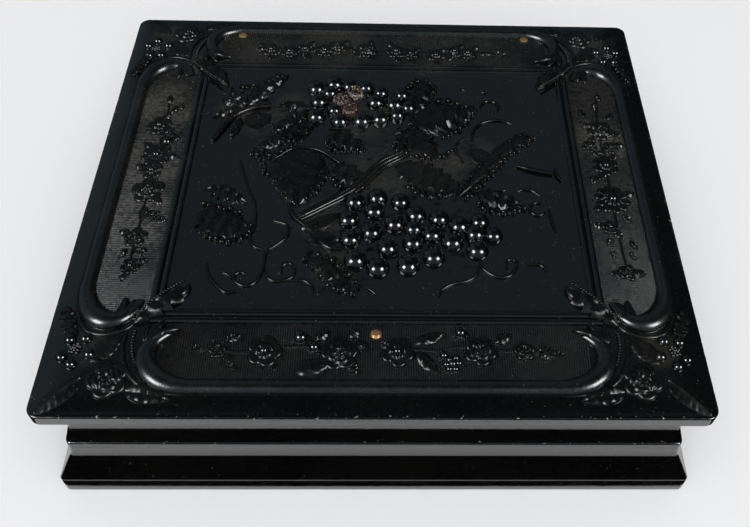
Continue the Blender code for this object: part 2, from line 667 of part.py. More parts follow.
def packet(parts, silver, mat_brass, glass, foil_brass):
    """Image plate, mat and glass in a folded brass preserver."""
    helpers = make_collection("packet_helpers", True)
    half_x, half_y = IMAGE_X / 2, IMAGE_Y / 2
    front, back = CAVITY_MID - half_y, CAVITY_MID + half_y
    z = FLOOR_Z + FIT + FOIL + LAYER_GAP
    layers = (
        ("image_plate", IMAGE_THICK, silver),
        ("brass_mat", MAT_THICK, mat_brass),
        ("cover_glass", GLASS_THICK, glass),
    )
    for name, thick, material in layers:
        piece = box(name, parts, (-half_x, front, z), (half_x, back, z + thick))
        finish(piece, material)
        if name == "brass_mat":
            window = cylinder("mat_window", helpers, 0.5, (0, 0, z - thick), (0, 0, z + 2 * thick), 48)
            oval = Matrix.Diagonal((WINDOW_X, WINDOW_Y, 1, 1))
            window.data.transform(Matrix.Translation((0, CAVITY_MID, 0)) @ oval)
            boolean(piece, window, "DIFFERENCE")
        z += thick + LAYER_GAP
    top = z + FOIL
    low = FLOOR_Z + FIT
    wall = LAYER_GAP + FOIL
    corner = (half_x + wall, back + wall, top)
    preserver = box("preserver", parts, (-half_x - wall, front - wall, low), corner)
    room = box(
        "preserver_room",
        helpers,
        (-half_x - LAYER_GAP, front - LAYER_GAP, low + FOIL),
        (half_x + LAYER_GAP, back + LAYER_GAP, z),
    )
    window = box(
        "preserver_window",
        helpers,
        (-half_x + PRESERVER_LAP, front + PRESERVER_LAP, z - FOIL),
        (half_x - PRESERVER_LAP, back - PRESERVER_LAP, top + FOIL),
    )
    under = box(
        "preserver_under",
        helpers,
        (-half_x + PRESERVER_TUCK, front + PRESERVER_TUCK, low - FOIL),
        (half_x - PRESERVER_TUCK, back - PRESERVER_TUCK, low + 2 * FOIL),
    )
    for cutter in (room, window, under):
        boolean(preserver, cutter, "DIFFERENCE")
    finish(preserver, foil_brass)
    return top


def linings(parts, packet_top, velvet, card_colour):
    """Velvet retainer over the packet, and the padded velvet on its card in the lid."""
    helpers = make_collection("lining_helpers", True)
    half_x = CAVITY_X / 2 - FIT
    half_y = CAVITY_Y / 2 - FIT
    corner = CAVITY_RADIUS - FIT
    low = packet_top + FIT
    retainer_top = SEAM_Z - RETAINER_DROP
    retainer = loft(
        "velvet_retainer",
        parts,
        [
            (half_x, half_y, corner, CAVITY_MID, low),
            (half_x, half_y, corner, CAVITY_MID, retainer_top - FIT),
            (half_x - FIT, half_y - FIT, corner, CAVITY_MID, retainer_top),
        ],
    )
    inside_x, inside_y = half_x - RETAINER_WIDTH, half_y - RETAINER_WIDTH
    hollow = loft(
        "retainer_hollow",
        helpers,
        [
            (inside_x - RETAINER_SPLAY, inside_y - RETAINER_SPLAY, FIT, CAVITY_MID, low - FIT),
            (inside_x - RETAINER_SPLAY, inside_y - RETAINER_SPLAY, FIT, CAVITY_MID, low + FIT),
            (inside_x, inside_y, FIT, CAVITY_MID, retainer_top - 2 * FIT),
            (inside_x + RETAINER_SPLAY, inside_y + RETAINER_SPLAY, FIT, CAVITY_MID, retainer_top + FIT),
        ],
    )
    boolean(retainer, hollow, "DIFFERENCE")
    half = CLASP_WIDTH / 2 + 2 * FIT
    notch = box(
        "retainer_notch",
        helpers,
        (CLASP_X - half, CAVITY_FRONT - FIT, SEAM_Z - TONGUE_DROP - 2 * FIT),
        (CLASP_X + half, CAVITY_FRONT + TONGUE_ROOM, retainer_top + FIT),
    )
    boolean(retainer, notch, "DIFFERENCE")
    finish(retainer, velvet)

    card_top = CEILING_Z - FIT
    sheet = (half_x, half_y, corner, CAVITY_MID)
    card = loft("lid_card", parts, [(*sheet, card_top - CARD_THICK), (*sheet, card_top)])
    tab = box(
        "card_notch",
        helpers,
        (CLASP_X - half, CAVITY_FRONT - FIT, card_top - 2 * CARD_THICK),
        (CLASP_X + half, CAVITY_FRONT + TONGUE_ROOM, card_top + FIT),
    )
    boolean(card, tab, "DIFFERENCE")
    finish(card, card_colour)
    pad_x, pad_y = half_x - FIT, half_y - PAD_CLEAR
    pad = loft(
        "velvet_pad",
        parts,
        [(pad_x - i, pad_y - i, PAD_RADIUS, CAVITY_MID, CEILING_Z - d) for i, d in PAD_SECTIONS],
    )
    finish(pad, velvet)


def side_radius(inset):
    """Corner radius of a side section: round on the plate and foot, nearly square in the coves."""
    return PLATE_RADIUS if inset < ROUND_EDGE else COVE_RADIUS


def top_radius(inset):
    """Corner radius of a section of the top: close to the plate's on the band, nearly square inside it."""
    return max(TOP_RADIUS, PLATE_RADIUS - inset / 2)


def main():
    for obj in list(bpy.data.objects):
        bpy.data.objects.remove(obj)
    parts = make_collection("union_case", False)
    lid_cuts = make_collection("lid_cuts", True)
    base_cuts = make_collection("base_cuts", True)
    relief = make_collection("lid_relief", True)

    black = principled("black_thermoplastic", (0.012, 0.012, 0.013), 0.22)
    brass = principled("rivet_brass", (0.75, 0.46, 0.22), 0.3, metallic=1.0)
    mat_brass = principled("mat_brass", (0.80, 0.58, 0.26), 0.35, metallic=1.0)
    silver = principled("silvered_plate", (0.62, 0.62, 0.64), 0.12, metallic=1.0)
    glass = principled("cover_glass", (0.95, 0.97, 0.96), 0.02, transmission=1.0)
    velvet = principled("velvet", (0.10, 0.014, 0.022), 0.9)
    card_colour = principled("card", (0.42, 0.33, 0.22), 0.85)

    lid_sections = moulded(LID_LOWER, SEAM_LID, 1, side_radius)
    lid_sections += moulded(LID_UPPER, EDGE_Z, -1, side_radius)
    lid_sections += moulded(LID_TOP, EDGE_Z, 1, top_radius)
    lid = loft("lid_moulding", parts, lid_sections)
    front_run = PLATE_X / 2 - SCROLL_FRONT_CORNER
    side_run = PLATE_Y / 2 - SCROLL_SIDE_CORNER
    scroll("scroll_front", relief, front_run, PLATE_Y / 2, 0.0)
    scroll("scroll_right", relief, side_run, PLATE_X / 2, math.pi / 2)
    scroll("scroll_back", relief, front_run, PLATE_Y / 2, math.pi)
    scroll("scroll_left", relief, side_run, PLATE_X / 2, -math.pi / 2)
    grapes("upper_grape", relief, UPPER_ROWS)
    grapes("lower_grape", relief, LOWER_ROWS)
    sprays(relief)
    boolean(lid, relief, "UNION")
    base_sections = moulded(BASE_LOWER, 0.0, 1, side_radius, FOOT_OUT)
    base_sections += moulded(BASE_UPPER, SEAM_BASE, -1, side_radius)
    base = loft("base_moulding", parts, base_sections)
    hollow = (CAVITY_X / 2, CAVITY_Y / 2, CAVITY_RADIUS, CAVITY_MID)
    loft("lid_hollow", lid_cuts, [(*hollow, SEAM_LID - FIT), (*hollow, CEILING_Z)])
    loft("base_hollow", base_cuts, [(*hollow, FLOOR_Z), (*hollow, SEAM_BASE + FIT)])

    hinge("left", -HINGE_X, parts, lid_cuts, base_cuts, brass)
    hinge("right", HINGE_X, parts, lid_cuts, base_cuts, brass)
    clasp(parts, lid_cuts, base_cuts, brass)
    boolean(lid, lid_cuts, "DIFFERENCE")
    boolean(base, base_cuts, "DIFFERENCE")
    finish(lid, black)
    finish(base, black)
    top = packet(parts, silver, mat_brass, glass, mat_brass)
    linings(parts, top, velvet, card_colour)


main()
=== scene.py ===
"""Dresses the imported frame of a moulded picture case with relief, brass, velvet and glass."""

import math
from functools import partial

import bmesh
import bpy
import numpy as np
from mathutils import Matrix, Vector


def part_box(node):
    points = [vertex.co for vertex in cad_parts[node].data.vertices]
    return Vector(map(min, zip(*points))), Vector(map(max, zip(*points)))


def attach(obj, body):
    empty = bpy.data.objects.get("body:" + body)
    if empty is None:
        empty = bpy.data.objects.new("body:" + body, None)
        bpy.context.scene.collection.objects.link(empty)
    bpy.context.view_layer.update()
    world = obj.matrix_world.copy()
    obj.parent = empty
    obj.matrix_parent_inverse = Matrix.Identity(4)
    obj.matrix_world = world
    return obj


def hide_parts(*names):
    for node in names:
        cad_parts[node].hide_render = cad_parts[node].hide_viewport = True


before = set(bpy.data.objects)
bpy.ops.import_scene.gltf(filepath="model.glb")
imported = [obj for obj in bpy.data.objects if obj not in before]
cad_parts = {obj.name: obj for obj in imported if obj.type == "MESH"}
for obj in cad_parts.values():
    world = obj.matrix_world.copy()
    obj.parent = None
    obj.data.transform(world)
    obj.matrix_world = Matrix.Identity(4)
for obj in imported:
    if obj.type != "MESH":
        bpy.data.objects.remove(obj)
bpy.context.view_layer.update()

bl_info = {
    "name": "Union Case",
    "version": (1, 0, 0),
    "blender": (4, 5, 0),
    "location": "3D View > Sidebar > Union Case",
    "description": "Dresses the packed frame of a moulded picture case",
    "category": "Object",
}

MM = 0.001
# Angle in degrees beyond which an edge is sharp
SHARP = 35.0

# Case outline and heights, in millimetres
HALF_X, HALF_Y = 47.5, 42.0
EDGE_Z, PANEL_Z = 23.8, 25.6
SEAM_LID, SEAM_BASE = 12.05, 11.75
CAVITY_X, CAVITY_Y, CAVITY_MID = 42.0, 35.45, -0.75
CAVITY_RADIUS, CEILING_Z, FLOOR_Z = 0.6, 22.3, 3.0
HINGE_Y, HINGE_Z, HINGE_ROOM = 41.2, 11.9, 1.3

# Lid's side and top as smooth runs of (inset, height)
LID_SIDE_RUNS = (
    ((2.1, 12.05), (1.86, 12.1)),
    ((1.86, 12.1), (2.02, 12.6), (2.27, 13.4), (2.5, 14.2), (2.68, 15.0), (2.76, 15.8)),
    ((2.76, 15.8), (2.62, 16.9), (2.2, 18.3), (1.5, 20.0), (0.5, 21.35)),
    ((0.5, 21.35), (0.12, 21.5), (0.0, 21.8)),
    ((0.0, 21.8), (0.0, 22.0), (0.0, 22.8), (0.0, 23.45), (0.0, 23.58)),
    ((0.0, 23.58), (0.08, 23.77), (0.4, 23.88)),
)
LID_TOP_RUNS = (
    ((0.4, 23.88), (1.2, 24.15), (2.8, 24.5), (5.2, 24.75)),
    ((5.2, 24.75), (13.9, 25.3)),
    ((13.9, 25.3), (14.05, 25.7), (14.45, 25.92), (14.85, 25.8), (15.05, 25.55)),
    ((15.05, 25.55), (15.25, 25.8), (15.6, 25.96), (15.95, 25.85), (16.15, 25.6)),
)
# Height of the lid's top by inset, without its double ridge
LID_FALL = ((0.5, 23.88), (1.2, 24.15), (2.8, 24.5), (5.2, 24.75), (13.9, 25.3), (15.0, 25.6), (40.0, 25.6))
# Base's side from the foot to the seam
BASE_RUNS = (
    ((-0.4, 0.0), (-0.52, 0.12), (-0.57, 0.5), (-0.58, 1.5)),
    ((-0.58, 1.5), (-0.58, 2.6), (-0.58, 3.6), (-0.58, 3.8), (-0.57, 3.95)),
    ((-0.57, 3.95), (-0.42, 4.25), (0.0, 5.05), (0.4, 5.85), (0.82, 6.65), (1.2, 7.4), (1.4, 7.8)),
    ((1.4, 7.8), (1.56, 8.25), (1.67, 9.0), (1.74, 10.0), (1.75, 11.2)),
    ((1.75, 11.2), (1.82, 11.6), (2.0, 11.75)),
)

# Strips between the outer band and the double ridge
STRIP_OUT, STRIP_IN = 5.2, 13.9
STRIP_SLOPE = math.atan2(0.55, STRIP_IN - STRIP_OUT)
# Height of the strips' ground by inset
STRIP_FALL = ((4.0, 24.68), (STRIP_OUT, 24.75), (STRIP_IN, 25.3), (15.0, 25.36))

# Scrolls along the strips: inset, straight half-runs, curl and half-width; the one at the back is slimmer
SCROLL_INSET, SCROLL_RUN_X, SCROLL_RUN_Y = 4.2, 26.0, 21.0
SCROLL_ALONG, SCROLL_IN, SCROLL_TURN, SCROLL_GIRTH = 6.5, 4.6, 150.0, 1.2
BACK_SCROLL_INSET, BACK_SCROLL_GIRTH = 3.6, 0.82
# How deep a scroll's section sits in the lid, and its height over its width
SCROLL_SINK, SCROLL_FLAT = 0.08, 0.92

# Point from which the ornament is set out and seen, over the lid's outer edge
EYE = np.array((1.612, -95.225, 110.833))
# How far the kinds of ornament stand over that edge
VINE_LIFT, GRAPE_LIFT, STRIP_LIFT, CORNER_LIFT = 1.8, 1.75, 1.6, 1.3
ROSE_LIFT, FLOWER_LIFT, FERN_LIFT = 1.4, 1.2, 1.0


# ---------------------------------------------------------------- values and trees


class Value:
    """A node's output that takes part in Python expressions."""

    def __init__(self, graph, socket):
        self.graph, self.socket = graph, socket

    def __add__(self, other):
        return self.graph.maths("ADD", self, other)

    def __sub__(self, other):
        return self.graph.maths("SUBTRACT", self, other)

    def __mul__(self, other):
        return self.graph.maths("MULTIPLY", self, other)

    def __truediv__(self, other):
        return self.graph.maths("DIVIDE", self, other)

    def __pow__(self, other):
        return self.graph.maths("POWER", self, other)

    def __radd__(self, other):
        return self.graph.maths("ADD", other, self)

    def __rsub__(self, other):
        return self.graph.maths("SUBTRACT", other, self)

    def __rmul__(self, other):
        return self.graph.maths("MULTIPLY", other, self)


class Graph:
    """Adds nodes to a tree: settings first, then values or links for the sockets."""

    def __init__(self, tree):
        self.tree = tree

    def node(self, kind, settings=None, inputs=None, out=0):
        made = self.tree.nodes.new(kind)
        for key, value in (settings or {}).items():
            setattr(made, key, value)
        for key, value in (inputs or {}).items():
            self.feed(made.inputs[key], value)
        return Value(self, made.outputs[out]) if made.outputs else made

    def feed(self, socket, value):
        if isinstance(value, Value):
            self.tree.links.new(value.socket, socket)
        else:
            socket.default_value = value

    def maths(self, operation, first, second=0.0):
        return self.node("ShaderNodeMath", {"operation": operation}, {0: first, 1: second})

    def attribute(self, name, kind="FLOAT"):
        """A point attribute of the mesh that a geometry tree grows from."""
        return self.node("GeometryNodeInputNamedAttribute", {"data_type": kind}, {"Name": name})

    def mix(self, share, first, second):
        """Blend of two colours."""
        settings = {"data_type": "RGBA", "clamp_factor": True}
        return self.node("ShaderNodeMix", settings, {0: share, 6: first, 7: second}, 2)

    def step(self, value, low, high):
        """Smooth rise from 0 to 1 between two values."""
        settings = {"interpolation_type": "SMOOTHSTEP"}
        return self.node("ShaderNodeMapRange", settings, {0: value, 1: low, 2: high})


class Finish(Graph):
    """A procedural material on object coordinates, with the patterns that several finishes share."""

    def __init__(self, name):
        self.material = bpy.data.materials.new(name)
        self.material.use_nodes = True
        super().__init__(self.material.node_tree)
        self.tree.nodes.clear()
        self.place = self.node("ShaderNodeTexCoord", out=3)

    def noise(self, scale, detail=3.0, rough=0.5):
        inputs = {"Vector": self.place, "Scale": scale, "Detail": detail, "Roughness": rough}
        return self.node("ShaderNodeTexNoise", None, inputs)

    def axes(self):
        """Object coordinates in millimetres as three values."""
        split = self.tree.nodes.new("ShaderNodeSeparateXYZ")
        self.feed(split.inputs[0], self.place)
        return [Value(self, split.outputs[i]) * 1000.0 for i in range(3)]

    def inset(self, x, y, half_x, half_y):
        """Distance in from the edge of a rectangle."""
        return self.maths("MINIMUM", half_x - self.maths("ABSOLUTE", x), half_y - self.maths("ABSOLUTE", y))

    @staticmethod
    def oval(x, y, half_x, half_y):
        """Share of the way out to an oval about the tray's middle."""
        return ((x / half_x) ** 2.0 + ((y - CAVITY_MID) / half_y) ** 2.0) ** 0.5

    def bump(self, height, strength, distance):
        return self.node("ShaderNodeBump", None, {"Height": height, "Strength": strength, "Distance": distance})

    def shade(self, **inputs):
        """Principled surface; words stand for its sockets."""
        names = {key: key.replace("_", " ").title() for key in inputs}
        names.update(ior="IOR", coat="Coat Weight", spec="Specular IOR Level")
        names.update(transmission="Transmission Weight", sheen="Sheen Weight", colour="Base Color")
        names.update(sheen_rough="Sheen Roughness", coat_rough="Coat Roughness")
        shader = self.node("ShaderNodeBsdfPrincipled", None, {names[k]: v for k, v in inputs.items()})
        self.node("ShaderNodeOutputMaterial", None, {0: shader})
        return self.material


def rgba(colour, share=1.0):
    return tuple(c * share for c in colour[:3]) + (1.0,)


# ---------------------------------------------------------------- meshes


class Skin:
    """Points and faces of one piece, in millimetres."""

    def __init__(self):
        self.blocks, self.faces, self.count = [], [], 0

    def add(self, points, faces):
        points = np.asarray(points, float).reshape(-1, 3)
        self.blocks.append(points)
        self.faces.extend(tuple(int(i) + self.count for i in face) for face in faces)
        self.count += len(points)

    def grid(self, points, wrap=False, ends=(False, False)):
        """Quads over rows of points; wrap closes each row, ends cap the first and last row."""
        points = np.asarray(points, float)
        rows, columns = points.shape[:2]
        across = columns if wrap else columns - 1
        faces = []
        for i in range(rows - 1):
            for j in range(across):
                k = (j + 1) % columns
                faces.append((i * columns + j, i * columns + k, (i + 1) * columns + k, (i + 1) * columns + j))
        if ends[0]:
            faces.append(tuple(range(columns))[::-1])
        if ends[1]:
            faces.append(tuple((rows - 1) * columns + j for j in range(columns)))
        self.add(points, faces)

    def mirrored(self, sign_x, sign_y):
        """Another skin, reflected across the axes whose sign is -1."""
        other = Skin()
        other.blocks = [b * (sign_x, sign_y, 1.0) for b in self.blocks]
        turn = sign_x != sign_y
        other.faces = [f[::-1] if turn else f for f in self.faces]
        other.count = self.count
        return other

    def join(self, other):
        self.add(np.concatenate(other.blocks), other.faces)

    def build(self, name, material, sharp=SHARP):
        mesh = bpy.data.meshes.new(name)
        mesh.from_pydata((np.concatenate(self.blocks) * MM).tolist(), [], self.faces)
        mesh.validate()
        outward = bmesh.new()
        outward.from_mesh(mesh)
        bmesh.ops.recalc_face_normals(outward, faces=outward.faces)
        outward.to_mesh(mesh)
        outward.free()
        mesh.shade_smooth()
        mesh.set_sharp_from_angle(angle=math.radians(sharp))
        mesh.materials.append(material)
        return placed(name, mesh)


def placed(name, mesh):
    made = bpy.data.objects.new(name, mesh)
    bpy.context.scene.collection.objects.link(made)
    return made


def settle(piece, body, slot, *nodes):
    """Hands a finished piece to the frame."""
    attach(piece, body)
    if nodes:
        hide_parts(*nodes)
    return piece


def on_lid(piece, *nodes):
    """Hands a moulded piece of the lid to the frame."""
    return settle(piece, "lid", "black_thermoplastic", *nodes)


def catmull(points, steps):
    """Smooth curve through points, with so many steps to each span."""
    points = np.asarray(points, float)
    if len(points) < 3:
        return points
    padded = np.concatenate([[2 * points[0] - points[1]], points, [2 * points[-1] - points[-2]]])
    out = []
    for a, b, c, d in zip(padded, padded[1:], padded[2:], padded[3:]):
        for t in np.arange(steps) / steps:
            out.append(
                0.5 * (2 * b + (c - a) * t + (2 * a - 5 * b + 4 * c - d) * t**2 + (3 * b - a - 3 * c + d) * t**3)
            )
    return np.array(out + [points[-1]])


def ring(half_x, half_y, radius, mid_y, z, steps=6):
    """Rounded rectangle, anticlockwise from above."""
    points = []
    radius = max(radius, 0.05)
    for turn, (sx, sy) in enumerate(((1, 1), (-1, 1), (-1, -1), (1, -1))):
        for i in range(steps + 1):
            angle = math.pi / 2 * (turn + i / steps)
            x = sx * (half_x - radius) + radius * math.cos(angle)
            y = sy * (half_y - radius) + radius * math.sin(angle)
            points.append((x, y + mid_y, z))
    return points


def outline_rings(runs, radius_of, steps=4):
    """Rings round the case from runs of (inset, height)."""
    rings = []
    for run in runs:
        for inset, z in catmull(run, steps):
            rings.append(ring(HALF_X - inset, HALF_Y - inset, radius_of(inset, z), 0.0, z))
    return rings


def side_radius(inset, z):
    """Corner radius of the side: the lid's outer edge is rounder than the rest."""
    return 1.7 if inset < 0.5 and z > SEAM_LID else 0.7


def top_radius(inset, _):
    """Corner radius of the top, sharper towards the panel."""
    return max(0.3, 1.9 - inset / 2)


def box_points(low, high):
    (x0, y0, z0), (x1, y1, z1) = low, high
    return [(x, y, z) for z in (z0, z1) for x, y in ((x0, y0), (x1, y0), (x1, y1), (x0, y1))]


# Angles round a swept section
ROUND = np.linspace(0, 2 * math.pi, 25)[:-1]
BOX_FACES = ((3, 2, 1, 0), (4, 5, 6, 7), (0, 1, 5, 4), (1, 2, 6, 5), (2, 3, 7, 6), (3, 0, 4, 7))


def node_box(node, room=0.0):
    """A CAD node's corners in millimetres, grown by some room."""
    low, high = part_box(node)
    return [c / MM - room for c in low], [c / MM + room for c in high]


def carved(piece, cutter):
    """The piece with another skin cut out of it; the cutter goes."""
    tool = cutter.build(piece.name + "_cutter", piece.data.materials[0])
    cut = piece.modifiers.new("cut", "BOOLEAN")
    cut.operation, cut.solver, cut.object, cut.use_self = "DIFFERENCE", "EXACT", tool, True
    plain(piece)
    bpy.data.objects.remove(tool)
    piece.data.set_sharp_from_angle(angle=math.radians(SHARP))
    return piece


def plain(piece):
    """Turns a piece with modifiers into a plain mesh."""
    graph = bpy.context.evaluated_depsgraph_get()
    mesh = bpy.data.meshes.new_from_object(piece.evaluated_get(graph), depsgraph=graph)
    piece.modifiers.clear()
    piece.data = mesh
    return piece


# ---------------------------------------------------------------- the lid's top


def inset_of(x, y):
    return np.minimum(HALF_X - np.abs(x), HALF_Y - np.abs(y))


def ground(x, y):
    """Height of the lid's top without its double ridge."""
    return np.interp(inset_of(np.asarray(x, float), np.asarray(y, float)), *zip(*LID_FALL))


def seat(x, y, lift=VINE_LIFT):
    """Place on the lid, for a point set out over its outer edge and that far above it."""
    share = lift / EYE[2]
    return x + (EYE[0] - x) * share, y + (EYE[1] - y) * share


def seats(points, lift=VINE_LIFT):
    return np.array([seat(x, y, lift) for x, y in points])


# ---------------------------------------------------------------- geometry nodes


def group(name, inputs):
    """An empty geometry tree with named inputs, as (tree, graph, its inputs by name)."""
    tree = bpy.data.node_groups.new(name, "GeometryNodeTree")
    tree.interface.new_socket("Geometry", in_out="INPUT", socket_type="NodeSocketGeometry")
    for label, kind, default in inputs:
        made = tree.interface.new_socket(label, in_out="INPUT", socket_type=kind)
        if default is not None:
            made.default_value = default
    tree.interface.new_socket("Geometry", in_out="OUTPUT", socket_type="NodeSocketGeometry")
    graph = Graph(tree)
    start = tree.nodes.new("NodeGroupInput")
    named = {socket.name: Value(graph, socket) for socket in start.outputs if socket.name}
    return tree, graph, named


def close_group(graph, geometry):
    """Realises the geometry, gives it the tree's material and ends the tree."""
    real = graph.node("GeometryNodeRealizeInstances", None, {0: geometry})
    start = next(n for n in graph.tree.nodes if n.bl_idname == "NodeGroupInput")
    finish = Value(graph, start.outputs["Finish"])
    dressed = graph.node("GeometryNodeSetMaterial", None, {"Geometry": real, "Material": finish})
    graph.node("NodeGroupOutput", None, {0: dressed})


def grown(name, points, edges, attributes, tree, values):
    """Runs a geometry tree over points in millimetres and returns the result as a plain piece."""
    mesh = bpy.data.meshes.new(name)
    mesh.from_pydata((np.asarray(points, float) * MM).tolist(), edges, [])
    for label, (kind, numbers) in attributes.items():
        field = "vector" if kind == "FLOAT_VECTOR" else "value"
        mesh.attributes.new(label, kind, "POINT").data.foreach_set(field, np.ravel(numbers).astype(np.float32))
    piece = placed(name, mesh)
    modifier = piece.modifiers.new("growth", "NODES")
    modifier.node_group = tree
    for item in tree.interface.items_tree:
        if item.in_out == "INPUT" and item.name in values:
            modifier[item.identifier] = values[item.name]
    return plain(piece)


def ball_tree(segments, rings):
    """Balls on points, sized by their girth attribute."""
    tree, graph, named = group("balls", (("Finish", "NodeSocketMaterial", None),))
    ball = graph.node("GeometryNodeMeshUVSphere", None, {"Segments": segments, "Rings": rings, "Radius": 1.0})
    smooth = graph.node("GeometryNodeSetShadeSmooth", None, {0: ball})
    points = graph.node("GeometryNodeMeshToPoints", None, {0: named["Geometry"]})
    settings = {"Points": points, "Instance": smooth, "Scale": graph.attribute("girth")}
    close_group(graph, graph.node("GeometryNodeInstanceOnPoints", None, settings))
    return tree


def tube_tree(sides):
    """Round tubes along edges, sized by the girth attribute of their points."""
    inputs = (("Finish", "NodeSocketMaterial", None), ("Step", "NodeSocketFloat", 0.0003))
    tree, graph, named = group("tubes", inputs)
    path = graph.node("GeometryNodeMeshToCurve", None, {0: named["Geometry"]})
    bent = graph.node("GeometryNodeCurveSplineType", {"spline_type": "CATMULL_ROM"}, {0: path})
    even = graph.node("GeometryNodeResampleCurve", {"mode": "LENGTH"}, {"Curve": bent, "Length": named["Step"]})
    section = graph.node("GeometryNodeCurvePrimitiveCircle", None, {"Resolution": sides, "Radius": 1.0})
    inputs = {"Curve": even, "Profile Curve": section, "Scale": graph.attribute("girth"), "Fill Caps": True}
    tube = graph.node("GeometryNodeCurveToMesh", None, inputs)
    close_group(graph, graph.node("GeometryNodeSetShadeSmooth", None, {0: tube}))
    return tree


def ruling_tree():
    """Ridges across a strip: one on each point, turned and stretched by its attributes."""
    inputs = (
        ("Finish", "NodeSocketMaterial", None),
        ("Pitch", "NodeSocketFloat", 0.00034),
        ("Height", "NodeSocketFloat", 0.0001),
    )
    tree, graph, named = group("ruling", inputs)
    length, turn = graph.attribute("length"), graph.attribute("turn", "FLOAT_VECTOR")
    bar = graph.node("GeometryNodeMeshCylinder", None, {"Vertices": 6, "Radius": 0.5, "Depth": 1.0})
    move = {"Translation": (0.0, 0.5, 0.0), "Rotation": (math.pi / 2, math.pi / 6, 0.0)}
    laid = graph.node("GeometryNodeTransform", None, {"Geometry": bar, **move})
    points = graph.node("GeometryNodeMeshToPoints", None, {0: named["Geometry"]})
    size = graph.node("ShaderNodeCombineXYZ", None, {0: named["Pitch"], 1: length, 2: named["Height"] * 2.0})
    settings = {"Points": points, "Instance": laid, "Rotation": turn, "Scale": size}
    close_group(graph, graph.node("GeometryNodeInstanceOnPoints", None, settings))
    return tree


# ---------------------------------------------------------------- leaves, flowers, stems and beads


def spans(path):
    """Distances from each point of a path to the next."""
    return np.linalg.norm(np.diff(path, axis=0), axis=1)


def headings(path):
    """Unit vectors along a path and across it, to its left."""
    along = np.gradient(path, axis=0)
    along /= np.linalg.norm(along, axis=1)[:, None]
    return along, np.stack([-along[:, 1], along[:, 0]], axis=1)


def even(points, count):
    """So many places spaced evenly along a smooth curve."""
    fine = catmull(points, 12)
    run = np.concatenate([[0.0], np.cumsum(spans(fine))])
    marks = np.linspace(0.0, run[-1], count)
    return np.stack([np.interp(marks, run, fine[:, k]) for k in range(fine.shape[1])], axis=1)


def blade(
    skin, spine, left, right, height, teeth=0, veins=0, *, low=0.0, peak=0.8, full=0.6,
    rows=None, columns=11, rib=0.16, vein=0.2, cup=0.0, flutes=0,
):
    """A closed leaf or petal along its spine: half-widths, height over the lid, toothed edge and veins."""
    rows = rows or (44 if veins else 26)
    path = even(spine, rows)
    _, aside = headings(path)
    u = np.sin(np.linspace(math.pi / 2, -math.pi / 2, columns))
    half = np.where(u > 0, left, right) * u
    dome = (1 - 0.5 * u**2) * (1 - 0.7 * np.abs(u) ** 8) + cup * u**2 * (1 - np.abs(u) ** 9)
    loops = []
    for i, t in enumerate(np.linspace(0.0, 1.0, rows)):
        breadth = math.sin(math.pi * min(max(t, 0.012), 0.988) ** peak) ** full
        notch = 1.0 + 0.42 * ((teeth * t) % 1.0 - 0.6) if teeth else 1.0
        flat = path[i] + aside[i] * (half * breadth * notch)[:, None]
        fx, fy = flat.T
        floor = ground(fx, fy)
        rise = height * dome - rib * np.exp(-((u / 0.16) ** 2))
        if veins:
            slant = np.sin(2 * math.pi * (veins * t - 0.9 * np.abs(u)))
            rise += vein * np.abs(u) ** 0.7 * (1 - u**6) * slant
            rise += 0.3 * height * (1 - u**4) * np.sin(2.1 * fx + 0.9 * fy) * np.sin(1.7 * fy - 0.8 * fx)
        if flutes:
            rise += 0.1 * (1 - u**4) * np.cos(math.pi * flutes * u)
        top = floor + 0.04 + low + np.maximum(rise, 0.02) * min(1.0, breadth**0.5)
        over = np.column_stack([flat, top])
        under = np.column_stack([flat, floor - 0.25])[::-1][:: columns - 1]
        loops.append(np.concatenate([over, under]))
    skin.grid(loops, wrap=True, ends=(True, True))


def ruffle(skin, path, gap, long, side):
    """Small uneven lobes along a leaf's edge, pointing outwards."""
    spots = even(path, max(3, int(spans(catmull(path, 12)).sum() / gap) + 1))
    for k, (spot, way, across) in enumerate(zip(spots, *headings(spots))):
        out = side * across + way * 0.35 * math.sin(2.1 * k)
        reach = long * (0.75 + 0.35 * math.sin(4.7 * k + spot[0]))
        tall = 0.75 + 0.25 * math.sin(3.1 * k + spot[1])
        ends = [spot - 0.5 * out, spot + reach * out * 0.75]
        blade(skin, ends, 0.5, 0.5, tall, peak=1.2, full=0.5, rows=9, columns=7, rib=0.06)


def bloom(skin, x, y, size, tiers, turn=0.0, height=0.42):
    """A flower moulded in one: tiers of petals as (count, reach, low), each cupped and creased between petals."""
    angles = np.linspace(0.0, 2 * math.pi, max(48, 10 * tiers[0][0]) + 1)[:-1]
    lobes = [np.abs(np.cos(count / 2 * (angles + turn + 0.7 * k))) for k, (count, _, _) in enumerate(tiers)]
    edges = [reach * (0.74 + 0.26 * lobe**0.6) for (_, reach, _), lobe in zip(tiers, lobes)]
    rows = []
    for share in np.concatenate([[0.015], np.linspace(0.05, 1.0, 22), [1.0]]):
        out = share * edges[0]
        rise = np.zeros_like(out)
        for (_, _, low), lobe, edge in zip(tiers, lobes, edges):
            part = np.minimum(out / edge, 1.0)
            cup = (0.35 + 0.75 * part**2) * (1 - 0.85 * part**12) - 0.6 * part * (1 - lobe) ** 4
            rise = np.where(out <= edge + 1e-6, np.maximum(rise, low + height * cup), rise)
        px, py = x + size * out * np.cos(angles), y + size * out * np.sin(angles)
        floor = ground(px, py)
        rows.append(np.column_stack([px, py, floor + rise]))
    rows[-1][:, 2] = floor - 0.25
    skin.grid(rows, wrap=True, ends=(True, True))


def rose(skin, x, y, size):
    """An open rose: broad outer petals round tighter, higher ones."""
    bloom(skin, x, y, size, ((5, 1.0, 0.05), (4, 0.66, 0.3), (3, 0.4, 0.52), (2, 0.2, 0.66)), 1.7 * x + y, 0.5)


